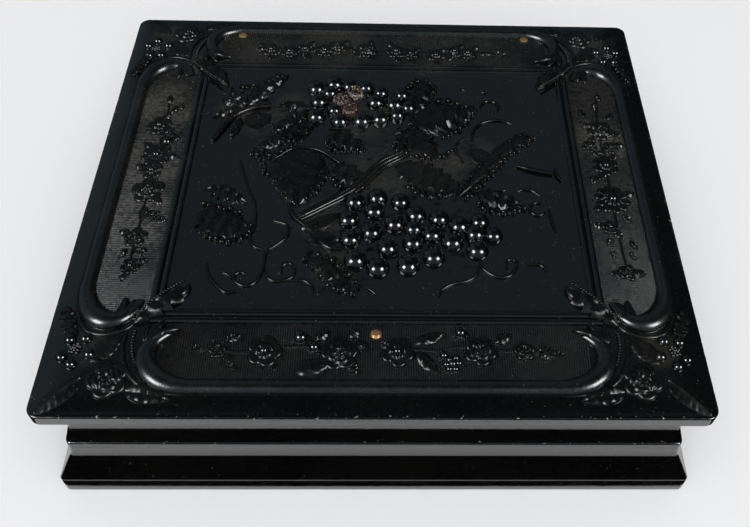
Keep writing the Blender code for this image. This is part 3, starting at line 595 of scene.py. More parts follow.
def bead_line(path, gap, radius, lift):
    """Places of beads along a path, as (x, y, z, radius)."""
    spots = even(path, max(2, int(spans(catmull(path, 12)).sum() / gap) + 1))
    return [(x, y, float(ground(x, y)) + lift, radius) for x, y in spots]


def tubes(name, lines, finish):
    """Round stems along paths on the lid, given as (points, radius, lift), slimmer at their ends."""
    points, edges, girths = [], [], []
    for path, radius, lift in lines:
        spots = even(path, max(6, int(spans(path).sum() / 0.5)))
        for i, (x, y) in enumerate(spots):
            end = min(i, len(spots) - 1 - i) / 3
            if i:
                edges.append((len(points) - 1, len(points)))
            points.append((x, y, float(ground(x, y)) + lift))
            girths.append(radius * MM * min(1.0, 0.55 + 0.45 * end))
    values = {"Finish": finish, "Step": 0.25 * MM}
    return grown(name, points, edges, {"girth": ("FLOAT", girths)}, tube_tree(8), values)


def balls(name, spots, finish, segments=10, rings=7):
    """Small balls at (x, y, z, radius)."""
    spots = np.array(spots)
    attributes = {"girth": ("FLOAT", spots[:, 3] * MM)}
    return grown(name, spots[:, :3], [], attributes, ball_tree(segments, rings), {"Finish": finish})


def circle(x, y, size, first, last):
    """Places round a loop, between two angles."""
    return [(x + size * math.cos(a), y + size * math.sin(a)) for a in np.radians(np.linspace(first, last, 13))]


# ---------------------------------------------------------------- finishes


# Where dust has settled on the panel and in the front corners: place and reach
DUST_PATCHES = (
    (-21.5, 12.8, 4.5), (0.0, 1.5, 7.5), (15.0, 6.0, 5.0), (-3.0, 14.5, 7.5), (-15.5, 15.5, 5.0), (-10.0, -9.0, 5.0),
    (9.0, 2.0, 6.5), (-26.0, 15.5, 4.0), (-7.0, -18.0, 4.5), (-40.2, -31.5, 4.0), (-31.5, -37.0, 2.6),
    (40.2, -31.5, 4.0),
)
# Where it has settled on the border, mostly at the back and on the left
BORDER_DUST = (
    (-24.0, 33.0, 8.0), (-9.0, 33.0, 9.0), (8.0, 33.0, 9.0), (23.0, 33.0, 8.0), (-38.5, 16.0, 7.5), (-38.5, 4.0, 8.0),
    (-38.5, -9.0, 7.5), (-41.0, 35.0, 5.0), (-36.0, 28.0, 4.0), (39.0, 34.0, 5.0), (38.5, 10.0, 6.0),
)
# Where the bunches stand
GRAPE_PATCHES = ((-4.0, -10.0, 6.0), (6.0, -11.0, 7.0), (14.0, -11.0, 5.0), (-6.0, 17.0, 6.0), (2.0, 16.0, 5.0))

# Heights between which wear sets in at the lid's edge, on both sides of the seam and at the foot, and its colour
WORN_EDGE, WORN_SEAM, WORN_FOOT = (23.2, 23.7), ((11.0, 11.6), (12.3, 12.9)), (0.1, 0.7)
WORN_TONE = (0.19, 0.175, 0.15, 1.0)
# Where the foremost broken grape ends: its amber, and the thinner pale crazed patches over it, whose pale colour is
# partly a painted glint
AMBER_END, CRAZE_GLINT_END = (15.6, 16.8), (15.0, 16.4)


def plastic(name, colour, dust, dusty, rough, coat, flecks, patchy=0.12, ior=1.85):
    """Dark moulded plastic: faint mottle, dust in its hollows and pale flecks where it is worn."""
    f = Finish(name)
    broad = f.noise(90.0, 4.0)
    fine = f.noise(1400.0, 3.0)
    grain = f.noise(5200.0, 2.0)
    x, y, z = f.axes()
    settled = 0.0
    for spot_x, spot_y, size in DUST_PATCHES + BORDER_DUST:
        away = ((x - spot_x) ** 2.0 + (y - spot_y) ** 2.0) / size**2
        settled = settled + (1 - f.step(away, 0.2, 1.0)) * 0.6
    film = f.step(broad * 0.6 + fine * 0.4, 0.3, 0.66) * (dusty + settled * patchy)
    base = f.mix(film, rgba(colour), rgba(dust))
    edge = (1 - f.step(f.inset(x, y, HALF_X, HALF_Y), 0.2, 0.6)) * f.step(z, *WORN_EDGE)
    seam = f.step(z, *WORN_SEAM[0]) * (1 - f.step(z, *WORN_SEAM[1]))
    foot = 1 - f.step(z, *WORN_FOOT)
    chips = f.step(f.noise(1900.0, 4.0, 0.6), 0.63, 0.68)
    specks = f.step(f.noise(2400.0, 2.0), 0.72, 0.75) * 0.3
    worn = chips * (edge + seam * 0.6 + foot * 0.9 + flecks) + specks
    base = f.mix(worn, base, WORN_TONE)
    roughness = rough + film * 0.25 + worn * 0.3 + (fine - 0.5) * 0.1
    normal = f.bump(grain * 0.4 + fine, 0.2, 0.00006)
    return f.shade(colour=base, roughness=roughness, normal=normal, coat=coat, coat_rough=0.06, ior=ior)


def glassy_break(name, body, pale_crazing_glint, amber):
    """Break in the plastic: pale crazed patches over a brown body, which is amber on the foremost broken grape; the
    pale colour is partly a painted glint of the glassy broken faces.
    """
    f = Finish(name)
    _, y, _ = f.axes()
    grain = f.noise(2500.0, 4.0, 0.6)
    # The pale crazed patches are partly painted glints on the broken faces
    craze_glint = f.step(grain, 0.5, 0.62) * (0.25 + 0.75 * f.step(y, *CRAZE_GLINT_END))
    base = f.mix(craze_glint, f.mix(f.step(y, *AMBER_END), rgba(amber), rgba(body)), rgba(pale_crazing_glint))
    normal = f.bump(grain, 0.8, 0.0003)
    return f.shade(colour=base, roughness=0.14 + craze_glint * 0.2, normal=normal, coat=0.2, coat_rough=0.06, ior=1.6)


# Brown of the brasses where they are tarnished
FITTING_TARNISH = (0.19, 0.105, 0.05, 1.0)
MAT_TARNISH = (0.21, 0.12, 0.045, 1.0)
FOIL_TARNISH = (0.25, 0.14, 0.05, 1.0)


def brass(name, colour):
    """Worn brass with brown tarnish and fine scratches."""
    f = Finish(name)
    stain = f.step(f.noise(900.0, 4.0, 0.6), 0.42, 0.7)
    base = f.mix(stain * 0.6, rgba(colour), FITTING_TARNISH)
    lines = f.noise(6000.0, 2.0)
    normal = f.bump(lines, 0.2, 0.00003)
    return f.shade(colour=base, roughness=0.3 + stain * 0.2 + (lines - 0.5) * 0.1, metallic=0.9, normal=normal)


# The pad's half-sizes, the oval pressed into it, and the height over which velvet belongs to the lid
PAD_HALF, PAD_OVAL, PAD_FRONT = (41.4, 34.0), (24.0, 18.0), (13.0, 13.2)


def velvet(name, colour):
    """Cut velvet: a crushed nap, with a border and an oval pressed into it."""
    f = Finish(name)
    x, y, z = f.axes()
    nap = f.noise(420.0, 4.0, 0.6)
    pile = f.noise(9000.0, 2.0)
    crushed = f.step(f.noise(60.0, 3.0), 0.35, 0.7)
    base = f.mix(crushed * 0.5 + nap * 0.3, rgba(colour, 0.75), rgba(colour, 1.5))
    inset = f.inset(x, y - CAVITY_MID, *PAD_HALF)
    oval = f.oval(x, y, *PAD_OVAL)
    border = f.step(inset, 5.0, 5.4) * (1 - f.step(inset, 6.0, 6.4))
    round_line = f.step(oval, 0.96, 0.98) * (1 - f.step(oval, 1.01, 1.03))
    pressed = (border + round_line) * f.step(z, *PAD_FRONT)
    base = f.mix(pressed * 0.6, base, rgba(colour, 0.45))
    normal = f.bump(nap * 0.5 + pile * 0.5 - pressed * 2.0, 0.5, 0.0002)
    sheen = {"sheen": 0.6, "sheen_rough": 0.35, "sheen_tint": rgba(colour, 5.0)}
    return f.shade(colour=base, roughness=0.85 + (nap - 0.5) * 0.2, normal=normal, spec=0.2, **sheen)


def mat_metal(name, colour):
    """Stamped sheet brass with a pebbled field."""
    f = Finish(name)
    stain = f.step(f.noise(160.0, 4.0, 0.6), 0.45, 0.75)
    pebble = f.node("ShaderNodeTexVoronoi", None, {"Vector": f.place, "Scale": 1900.0})
    base = f.mix(stain * 0.55, rgba(colour), MAT_TARNISH)
    normal = f.bump(pebble, 0.35, 0.00012)
    return f.shade(colour=base, roughness=0.3 + stain * 0.2, metallic=0.92, normal=normal)


def foil_metal(name, colour):
    """Thin brass foil, pressed with a running lattice."""
    f = Finish(name)
    x, y, _ = f.axes()
    lattice = f.maths("SINE", (x + y) * 3.4) * f.maths("SINE", (x - y) * 3.4)
    dull = f.step(f.noise(300.0, 4.0), 0.4, 0.75)
    base = f.mix(dull * 0.5, rgba(colour), FOIL_TARNISH)
    normal = f.bump(lattice, 0.4, 0.0001)
    return f.shade(colour=base, roughness=0.26 + dull * 0.2, metallic=0.95, normal=normal)


# Half-axes of the tarnish on the plate, a little wider than the mat's window, and the plate's tones
TARNISH_OVAL = (29.0, 23.0)
PLATE_BARE, PLATE_BROWN = (0.66, 0.66, 0.68, 1.0), (0.30, 0.20, 0.13, 1.0)
PLATE_BLUE, PLATE_SPECK = (0.28, 0.34, 0.46, 1.0), (0.2, 0.17, 0.15, 1.0)


def plate_metal(name):
    """Polished silvered plate, bare, tarnished in a halo along the mat's window."""
    f = Finish(name)
    x, y, _ = f.axes()
    oval = f.oval(x, y, *TARNISH_OVAL) + (f.noise(90.0, 4.0) - 0.5) * 0.16
    brown = f.step(oval, 0.82, 0.98)
    blue = f.step(oval, 0.72, 0.86) * (1 - f.step(oval, 0.88, 0.97))
    base = f.mix(brown, PLATE_BARE, PLATE_BROWN)
    base = f.mix(blue * 0.6, base, PLATE_BLUE)
    specks = f.step(f.noise(2600.0, 3.0), 0.66, 0.74)
    base = f.mix(specks * 0.6, base, PLATE_SPECK)
    return f.shade(colour=base, roughness=0.12 + brown * 0.15 + specks * 0.3, metallic=0.95)


def clear_glass(name):
    """Old cover glass with a few dull specks."""
    f = Finish(name)
    specks = f.step(f.noise(1500.0, 3.0), 0.7, 0.78)
    return f.shade(colour=(0.96, 0.985, 0.975, 1.0), roughness=0.02 + specks * 0.3, transmission=1.0, ior=1.5)


def pressed_card(name):
    """Brown pressed card with fibres."""
    f = Finish(name)
    fibres = f.noise(1500.0, 4.0, 0.7)
    base = f.mix(fibres, (0.30, 0.22, 0.14, 1.0), (0.50, 0.40, 0.27, 1.0))
    return f.shade(colour=base, roughness=0.85 + (fibres - 0.5) * 0.1, normal=f.bump(fibres, 0.3, 0.0001), spec=0.2)


# ---------------------------------------------------------------- properties


class CaseColours(bpy.types.PropertyGroup):
    """Colours of the case's finishes."""

    plastic: bpy.props.FloatVectorProperty(
        name="Plastic", description="Dark moulded shellac plastic", subtype="COLOR", default=(0.0011, 0.0012, 0.0013)
    )
    dust: bpy.props.FloatVectorProperty(
        name="Dust", description="Dust held in the relief", subtype="COLOR", default=(0.040, 0.036, 0.027)
    )
    chipped: bpy.props.FloatVectorProperty(
        name="Chipped", description="Brown body of a break", subtype="COLOR", default=(0.004, 0.003, 0.0024)
    )
    # Pale colour of the crazed faces of a break, partly a painted glint
    chip_pale_glint: bpy.props.FloatVectorProperty(
        name="Chip edge", description="Pale crazing of a break", subtype="COLOR", default=(0.25, 0.195, 0.165)
    )
    chip_amber: bpy.props.FloatVectorProperty(
        name="Chip amber", description="Thin plastic in a break", subtype="COLOR", default=(0.026, 0.0105, 0.0035)
    )
    brass: bpy.props.FloatVectorProperty(
        name="Brass", description="Rivets, hinges and clasp", subtype="COLOR", default=(0.72, 0.44, 0.22)
    )
    mat: bpy.props.FloatVectorProperty(
        name="Mat", description="Mat and preserver of thin brass", subtype="COLOR", default=(0.80, 0.56, 0.24)
    )
    velvet: bpy.props.FloatVectorProperty(
        name="Velvet", description="Pad and retainer", subtype="COLOR", default=(0.085, 0.012, 0.018)
    )
    floor: bpy.props.FloatVectorProperty(
        name="Floor", description="Pale floor under the case", subtype="COLOR", default=(0.83, 0.83, 0.84)
    )


class CaseSizes(bpy.types.PropertyGroup):
    """Sizes of the case's ornament."""

    ruling_pitch: bpy.props.FloatProperty(
        name="Ruling pitch", description="Distance between the strips' lines", unit="LENGTH", default=0.34 * MM
    )
    ruling_height: bpy.props.FloatProperty(
        name="Ruling height", description="Height of the strips' lines", unit="LENGTH", default=0.17 * MM
    )


def colours():
    return bpy.context.scene.case_colours


def sizes():
    return bpy.context.scene.case_sizes


# Looks of the plastic: dust all over, roughness, coat, flecks of wear, and dust in patches or another refraction
PLASTICS = {
    "shell": {"dusty": 0.05, "rough": 0.1, "coat": 0.0, "flecks": 0.03, "patchy": 0.7},
    "gloss": {"dusty": 0.02, "rough": 0.13, "coat": 0.1, "flecks": 0.05},
    "relief": {"dusty": 0.05, "rough": 0.25, "coat": 0.0, "flecks": 0.05, "ior": 1.52},
    "ruled": {"dusty": 0.23, "rough": 0.18, "coat": 0.0, "flecks": 0.0, "patchy": 0.6},
    "scroll": {"dusty": 0.08, "rough": 0.24, "coat": 0.0, "flecks": 0.03},
    "petal": {"dusty": 0.05, "rough": 0.28, "coat": 0.0, "flecks": 0.03, "ior": 1.52},
}
FINISHES = {}


def finish_of(name):
    """The named finish, made when it is first asked for."""
    if name not in FINISHES:
        c = colours()
        makers = {
            **{key: partial(plastic, f"{key}_plastic", c.plastic, c.dust, **look) for key, look in PLASTICS.items()},
            "chipped": lambda: glassy_break("chipped_plastic", c.chipped, c.chip_pale_glint, c.chip_amber),
            "brass": lambda: brass("worn_brass", c.brass),
            "mat": lambda: mat_metal("stamped_mat", c.mat),
            "foil": lambda: foil_metal("preserver_foil", c.mat),
            "plate": lambda: plate_metal("bare_plate"),
            "glass": lambda: clear_glass("old_glass"),
            "velvet": lambda: velvet("cut_velvet", c.velvet),
            "card": lambda: pressed_card("lid_card_finish"),
        }
        FINISHES[name] = makers[name]()
    return FINISHES[name]


# ---------------------------------------------------------------- operators


# Room round the hinge leaves, how high and low their mortises reach, and what the clasp's slots run past the hollow
MORTISE_ROOM, LID_MORTISE_Z, BASE_MORTISE_Z, SLOT_OVERRUN = 0.3, 12.9, 10.9, 0.4


class CASE_OT_shells(bpy.types.Operator):
    """Builds the moulded halves, hollow, with room for the hinges and the clasp"""

    bl_idname = "case.shells"
    bl_label = "Shells"

    def execute(self, context):
        finish = finish_of("shell")
        lid = Skin()
        hollow = (CAVITY_X, CAVITY_Y, CAVITY_RADIUS, CAVITY_MID)
        rings = [ring(*hollow, CEILING_Z), ring(*hollow, SEAM_LID)]
        rings += outline_rings(LID_SIDE_RUNS, side_radius)
        rings += outline_rings(LID_TOP_RUNS, top_radius)
        lid.grid(rings, wrap=True, ends=(True, True))
        shell = carved(lid.build("lid_shell", finish), self.hinge_rooms("lid"))
        on_lid(shell, "lid_moulding")
        base = Skin()
        rings = outline_rings(BASE_RUNS, side_radius)
        rings += [ring(*hollow, SEAM_BASE), ring(*hollow, FLOOR_Z)]
        base.grid(rings, wrap=True, ends=(True, True))
        shell = carved(base.build("base_shell", finish), self.hinge_rooms("base"))
        settle(shell, "base", "black_thermoplastic", "base_moulding")
        return {"FINISHED"}

    @staticmethod
    def hinge_rooms(half):
        """Cutters for the mortises of both hinges and for the clasp."""
        cutter = Skin()
        for side in ("left", "right"):
            low, high = node_box(f"hinge_{side}_{half}_leaf", MORTISE_ROOM)
            foot, head = (SEAM_LID - 1.0, LID_MORTISE_Z) if half == "lid" else (BASE_MORTISE_Z, SEAM_BASE + 1.0)
            cutter.add(box_points((low[0], low[1], foot), (high[0], HINGE_Y, head)), BOX_FACES)
            rows = [
                [(x, HINGE_Y + HINGE_ROOM * math.cos(t), HINGE_Z + HINGE_ROOM * math.sin(t)) for t in ROUND]
                for x in (low[0] - MORTISE_ROOM, high[0] + MORTISE_ROOM)
            ]
            cutter.grid(rows, wrap=True, ends=(True, True))
        if half == "lid":
            low, high = node_box("clasp_leaf", MORTISE_ROOM)
            front = node_box("clasp_tongue", MORTISE_ROOM)[0][1]
            cutter.add(box_points((low[0], front, CEILING_Z - SLOT_OVERRUN), high), BOX_FACES)
            cutter.add(box_points((low[0], front, SEAM_LID - SLOT_OVERRUN), (high[0], -CAVITY_Y, high[2])), BOX_FACES)
        else:
            low, high = node_box("clasp_catch", MORTISE_ROOM)
            cutter.add(box_points(low, (high[0], high[1], FLOOR_Z + SLOT_OVERRUN)), BOX_FACES)
            cutter.add(box_points(low, (high[0], -CAVITY_Y, SEAM_BASE + SLOT_OVERRUN)), BOX_FACES)
        return cutter


PANEL_X, PANEL_Y = 31.2, 25.7
# Waves of the ground where it is rough: turns to the millimetre across and along, start, height
PANEL_WAVES = (
    (1.9, 0.7, 0.3, 0.5), (-0.8, 2.3, 1.7, 0.5), (2.9, -1.9, 4.1, 0.35), (1.1, 3.4, 2.2, 0.3), (-3.7, 2.6, 0.9, 0.25),
)


class CASE_OT_panel_ground(bpy.types.Operator):
    """Lays the panel's slightly uneven ground, roughest about the bunches and leaves"""

    bl_idname = "case.panel_ground"
    bl_label = "Panel ground"

    def execute(self, context):
        x, y = np.meshgrid(np.linspace(-PANEL_X, PANEL_X, 157), np.linspace(-PANEL_Y, PANEL_Y, 131))
        near = np.zeros_like(x)
        for spot_x, spot_y, size in DUST_PATCHES + GRAPE_PATCHES:
            near += np.exp(-((x - spot_x) ** 2 + (y - spot_y) ** 2) / size**2)
        wave = sum(np.sin(a * x + b * y + c) * d for a, b, c, d in PANEL_WAVES)
        slow = np.sin(0.21 * x + 0.13 * y) + np.sin(0.17 * y - 0.3 * x + 1.0)
        margin = np.clip(np.minimum(PANEL_X - np.abs(x), PANEL_Y - np.abs(y)) / 1.5, 0.0, 1.0)
        rise = margin * (0.02 * slow + np.minimum(near, 1.0) * (0.06 + 0.11 * wave))
        z = PANEL_Z + 0.05 + rise
        top = np.stack([x, y, z], axis=2)
        under = np.stack([x, y, np.full_like(z, PANEL_Z - 0.3)], axis=2)
        skin = Skin()
        loops = [np.concatenate([over, below[::-1]]) for over, below in zip(top, under)]
        skin.grid(loops, wrap=True, ends=(True, True))
        on_lid(skin.build("panel_ground", finish_of("shell")))
        return {"FINISHED"}


BACK = 2
# How far the ruling runs past the straight part of the front and back strips, and of the side strips
RULING_PAST = (4.4, 6.2)


def strip_of(quarter):
    """One strip, counted from the front: straight half-run, depth of its side, inset of its scroll, and turn."""
    run, depth = ((SCROLL_RUN_X, HALF_Y), (SCROLL_RUN_Y, HALF_X))[quarter % 2]
    return run, depth, BACK_SCROLL_INSET if quarter == BACK else SCROLL_INSET, quarter * math.pi / 2


class CASE_OT_ruling(bpy.types.Operator):
    """Rules the four strips with fine ridges"""

    bl_idname = "case.ruling"
    bl_label = "Ruled strips"

    def execute(self, context):
        pitch = sizes().ruling_pitch / MM
        points, lengths, turns = [], [], []
        for quarter in range(4):
            run, depth, inset, angle = strip_of(quarter)
            ends = run + RULING_PAST[quarter % 2]
            c, s = math.cos(angle), math.sin(angle)
            for along in np.arange(-ends, ends, pitch):
                over = max(0.0, abs(along) - run) / SCROLL_ALONG
                low = inset + SCROLL_IN * (1 - math.sqrt(max(0.0, 1 - over**2))) + 0.4
                high = STRIP_IN + 0.15
                x, y = along, -(depth - low)
                px, py = c * x - s * y, s * x + c * y
                points.append((px, py, float(np.interp(low, *zip(*STRIP_FALL))) - 0.03))
                lengths.append((high - low) / math.cos(STRIP_SLOPE) * MM)
                turns.append((STRIP_SLOPE, 0.0, angle))
        values = {"Finish": finish_of("ruled"), "Pitch": sizes().ruling_pitch, "Height": sizes().ruling_height}
        attributes = {"length": ("FLOAT", lengths), "turn": ("FLOAT_VECTOR", turns)}
        strips = grown("ruled_strips", points, [], attributes, ruling_tree(), values)
        on_lid(strips)
        return {"FINISHED"}


class CASE_OT_scrolls(bpy.types.Operator):
    """Sweeps the rounded mouldings along the strips, curled in at their ends"""

    bl_idname = "case.scrolls"
    bl_label = "Scrolls"

    def execute(self, context):
        skin = Skin()
        for quarter in range(4):
            run, depth, inset, angle = strip_of(quarter)
            path, thick = self.path(run)
            turn = np.array(((math.cos(angle), -math.sin(angle)), (math.sin(angle), math.cos(angle))))
            thick = np.array(thick) * (BACK_SCROLL_GIRTH if quarter == BACK else 1.0)
            flat = np.array([(a, -(depth - inset) + b) for a, b in path]) @ turn.T
            rows = []
            for spot, side, z, radius in zip(flat, headings(flat)[1], ground(*flat.T), thick):
                z, tall = z - SCROLL_SINK, SCROLL_FLAT * radius
                rows.append([(*(spot - side * radius * math.cos(t)), z + tall * math.sin(t)) for t in ROUND])
            skin.grid(rows, wrap=True, ends=(True, True))
        on_lid(skin.build("scroll_mouldings", finish_of("scroll")))
        return {"FINISHED"}

    @staticmethod
    def path(run):
        """Points along one scroll, from curl to curl, and its half-widths there."""
        points, thick = [], []
        for turn in np.radians(np.linspace(0, SCROLL_TURN, 40)):
            part = turn / math.radians(SCROLL_TURN)
            points.append((run + SCROLL_ALONG * math.sin(turn), SCROLL_IN * (1 - math.cos(turn))))
            swell = 0.35 * math.sin(math.pi * min(1.0, 1.25 * part))
            thick.append(SCROLL_GIRTH * (1 + swell - 0.45 * part**6))
        straight = [(x, 0.0) for x in np.linspace(-run, run, 20)[1:-1]]
        mirror = [(-x, y) for x, y in points[::-1]]
        return mirror + straight + points, thick[::-1] + [SCROLL_GIRTH] * len(straight) + thick


# Grapes of each bunch: place, radius
UPPER_GRAPES = (
    (-12.1, 22.6, 1.7), (-8.9, 23.9, 1.7), (-6.1, 23.2, 1.5), (-4.9, 21.4, 1.75), (-3.1, 22.8, 1.4),
    (-11.5, 19.25, 1.7), (-7.4, 19.4, 1.75), (-5.8, 17.1, 1.7), (-1.3, 19.3, 1.7), (-11.7, 15.5, 1.7),
    (-7.5, 14.4, 1.7), (-3.7, 14.7, 1.85), (-0.4, 15.1, 1.7), (2.1, 18.8, 1.7), (4.6, 17.8, 1.4),
    (2.6, 16.0, 1.5), (-0.4, 21.5, 1.4), (3.4, 21.0, 1.4), (-8.6, 16.8, 1.3), (-9.6, 21.4, 1.5),
)
LOWER_GRAPES = (
    (-4.2, -4.0, 1.7), (-0.6, -3.1, 1.7), (3.2, -4.0, 1.6), (-5.1, -7.7, 1.75), (-1.0, -5.9, 1.75),
    (5.7, -6.7, 1.7), (2.3, -8.5, 1.75), (9.4, -7.4, 1.7), (12.6, -8.8, 1.75), (15.9, -8.0, 1.6),
    (5.3, -9.6, 1.5), (-1.4, -10.2, 1.75), (8.2, -10.6, 1.75), (15.1, -10.4, 1.7), (18.0, -10.8, 1.5),
    (-4.7, -11.6, 1.75), (5.2, -12.2, 1.75), (11.4, -12.0, 1.85), (1.2, -13.3, 1.75), (15.3, -13.6, 1.8),
    (8.4, -15.0, 1.8), (-3.8, -15.6, 1.85), (4.4, -16.6, 1.85), (-0.3, -17.0, 1.85),
)
# Height of their tops, and the ones that are chipped
GRAPE_TOP = PANEL_Z - 0.1 + 1.8
CHIPPED_GRAPES = ((-4.9, 21.4), (-7.4, 19.4), (-5.8, 17.1))


class CASE_OT_grapes(bpy.types.Operator):
    """Sets the two bunches of grapes on the panel"""

    bl_idname = "case.grapes"
    bl_label = "Grapes"

    def execute(self, context):
        whole, chipped = [], []
        for x, y, radius in UPPER_GRAPES + LOWER_GRAPES:
            spot = (*seat(x, y, GRAPE_LIFT), GRAPE_TOP - radius, radius)
            (chipped if (x, y) in CHIPPED_GRAPES else whole).append(spot)
        on_lid(balls("grapes", whole, finish_of("gloss"), 28, 18))
        broken = balls("chipped_grapes", chipped, finish_of("chipped"), 28, 18)
        spots = np.empty(len(broken.data.vertices) * 3)
        broken.data.vertices.foreach_get("co", spots)
        x, y, z = spots.reshape(-1, 3).T / MM
        bite = np.sin(3.1 * x + 1.3 * z) * np.sin(2.7 * y - 1.9 * z) + 0.5 * np.sin(6.1 * x - 5.3 * y + 4.0 * z)
        z = np.minimum(z - 0.12 * bite, PANEL_Z + 1.25 + 0.16 * np.sin(4.3 * x + 2.0) * np.sin(3.9 * y))
        broken.data.vertices.foreach_set("co", (np.stack([x, y, z], axis=1) * MM).ravel())
        on_lid(broken)
        return {"FINISHED"}


# Vine leaves: spine, left and right half-widths, height, teeth, veins
VINE_LEAVES = (
    (((-24, 18), (-21, 22.3), (-17.5, 26.2)), 2.2, 1.0, 0.9, 5, 5),
    (((-24.5, 18), (-27.5, 16.5), (-30.2, 15.3)), 0.9, 0.9, 0.7, 4, 4),
    (((-24.5, 18), (-27, 18.6), (-29, 19.9)), 0.85, 0.85, 0.7, 4, 4),
    (((-24.3, 18.3), (-26.5, 20.4), (-27.6, 22.8)), 0.8, 0.8, 0.7, 4, 4),
    (((-25, 15), (-25.4, 12.5), (-26.3, 10)), 0.75, 0.75, 0.7, 3, 3),
    (((-24.5, 14.2), (-22, 14.6), (-19.8, 16)), 2.1, 2.1, 0.45, 0, 0),
    (((-13, 17.5), (-16, 18.3), (-19, 17.4)), 1.4, 1.2, 0.8, 3, 3),
    (((-13, 16.5), (-16, 14.5), (-19, 11.8)), 1.5, 1.5, 0.8, 4, 4),
    (((-14, 13.5), (-17.5, 10), (-22, 7.2)), 1.4, 1.7, 0.8, 6, 5),
    (((-12.8, 15), (-13.6, 12), (-14.2, 9.5)), 1.2, 1.2, 0.7, 3, 3),
    (((-12.3, 7.8), (-12.8, 2), (-13.5, -4.7)), 3.4, 6.0, 1.0, 0, 3),
    (((-9, 4), (-5.5, 2), (-2, -0.5)), 2.2, 2.4, 0.7, 4, 4),
    (((-9.5, 11), (-6, 9.5), (-2.8, 7.6)), 2.0, 2.0, 0.7, 4, 4),
    (((-29, -1.4), (-25.8, -1.8), (-21.8, -4.3)), 1.2, 1.9, 0.55, 5, 5),
    (((-29, -6), (-25, -8.5), (-20.5, -9.6)), 2.8, 3.6, 0.8, 5, 5),
    (((-11, -15.4), (-7.8, -18), (-4.3, -21.6)), 1.8, 1.8, 0.8, 5, 4),
    (((5.4, 16.5), (6.2, 20.8), (7.8, 25.4)), 2.2, 2.4, 0.9, 5, 4),
    (((5, 13.8), (10, 15.6), (16.3, 17.6)), 3.6, 3.6, 1.0, 6, 5),
    (((5.2, 13), (6.5, 9.5), (9.5, 6)), 2.6, 2.6, 0.9, 4, 4),
    (((4.6, 13), (3.6, 10), (3, 7)), 1.2, 1.5, 0.8, 3, 3),
    (((2.5, 4.3), (8, 1.6), (14, -1.8)), 2.8, 3.0, 0.55, 7, 5),
    (((25.6, 11.6), (20.6, 7.2), (17.3, 3), (13, -2.6)), 1.4, 1.4, 1.2, 10, 0),
    (((14.8, 8), (17.5, 6), (20.3, 3.2)), 1.7, 1.7, 0.5, 0, 0),
    (((16, -1.8), (19.5, -3), (23.2, -4.6)), 1.8, 2.3, 0.8, 4, 4),
)
FLUTED_LEAVES = (
    (((-12.5, -9.7), (-9.5, -8.4), (-6.3, -6.4)), 1.3, 1.5, 0.8),
    (((-11.5, -11.7), (-9, -11.6), (-6.3, -11.8)), 1.6, 1.6, 0.8),
)
# Ruffled leaf edges: path, gap, lobe length, side of the path they point to
RUFFLED_EDGES = (
    (((-19.6, 2.6), (-18, 0.8), (-16.5, -0.8), (-15.5, -2.8), (-13.8, -4.4)), 0.95, 1.3, -1),
    (((-9.9, 2.4), (-10, 0.2), (-11, -1.5), (-12.4, -3.4)), 0.95, 1.2, 1),
    (((-20.5, 7.4), (-20.4, 5.4), (-19.7, 3.4)), 0.9, 1.0, -1),
    (((-8.5, 1.2), (-6.5, -0.7), (-4, -1.4), (-2.3, -0.8)), 0.8, 0.8, -1),
    (((-28.8, -8.6), (-27, -11.2), (-24, -12.1), (-21.8, -11), (-20.6, -9.2)), 0.85, 1.2, -1),
    (((-28.6, -4.6), (-26.5, -5.4), (-24.5, -5.6), (-22.5, -6.4)), 0.9, 0.9, 1),
    (((-11.2, -15.3), (-10.3, -16.8), (-8.4, -18.8), (-6, -20.8), (-4, -21.8)), 0.95, 1.2, -1),
    (((-9.5, -14.6), (-6.8, -16.2), (-4.6, -18.4), (-3, -20.6)), 1.2, 0.9, 1),
    (((2.2, 8.6), (3.4, 7.4), (6, 6), (10, 6.4), (12, 7.8)), 0.85, 0.95, -1),
    (((4.4, 23.2), (5.6, 24.6), (8, 25.2), (9.3, 23.4), (8.8, 20.6)), 0.85, 0.9, 1),
    (
        ((9.2, 19.6), (12, 19.8), (14.5, 18.6), (16.2, 18.2), (15.8, 16.6), (14.6, 14.8), (12.8, 12.5), (10.5, 11)),
        0.85, 1.0, 1,
    ),
    (((4.6, -0.4), (6.4, -1.4), (8.4, -1.9), (10.6, -2.2)), 0.8, 1.5, -1),
    (((24.9, 12), (19.8, 7.7), (16.4, 3.6), (12.6, -1.8)), 0.8, 1.0, -1),
    (((26.3, 11.1), (21.4, 6.5), (18.2, 2.4), (14.2, -2.8)), 0.8, 1.0, 1),
    (((16.2, -4), (18.5, -5.6), (21, -5.9), (23.2, -4.7)), 0.85, 1.1, -1),
    (((-25.6, 22.6), (-24.4, 23.2), (-22.3, 23.4), (-20.6, 25), (-18.5, 26)), 1.0, 1.1, 1),
    (((-9.5, 9.6), (-8, 7.6), (-6, 7.4), (-3.5, 7.6)), 0.85, 1.0, -1),
    (((-19.6, 13.4), (-18.6, 11.6), (-17, 10.4), (-15, 9.6)), 0.9, 1.1, -1),
    (((-22.2, 6.6), (-20, 6.2), (-17.6, 6.8), (-15.6, 8.2)), 0.9, 1.0, -1),
)
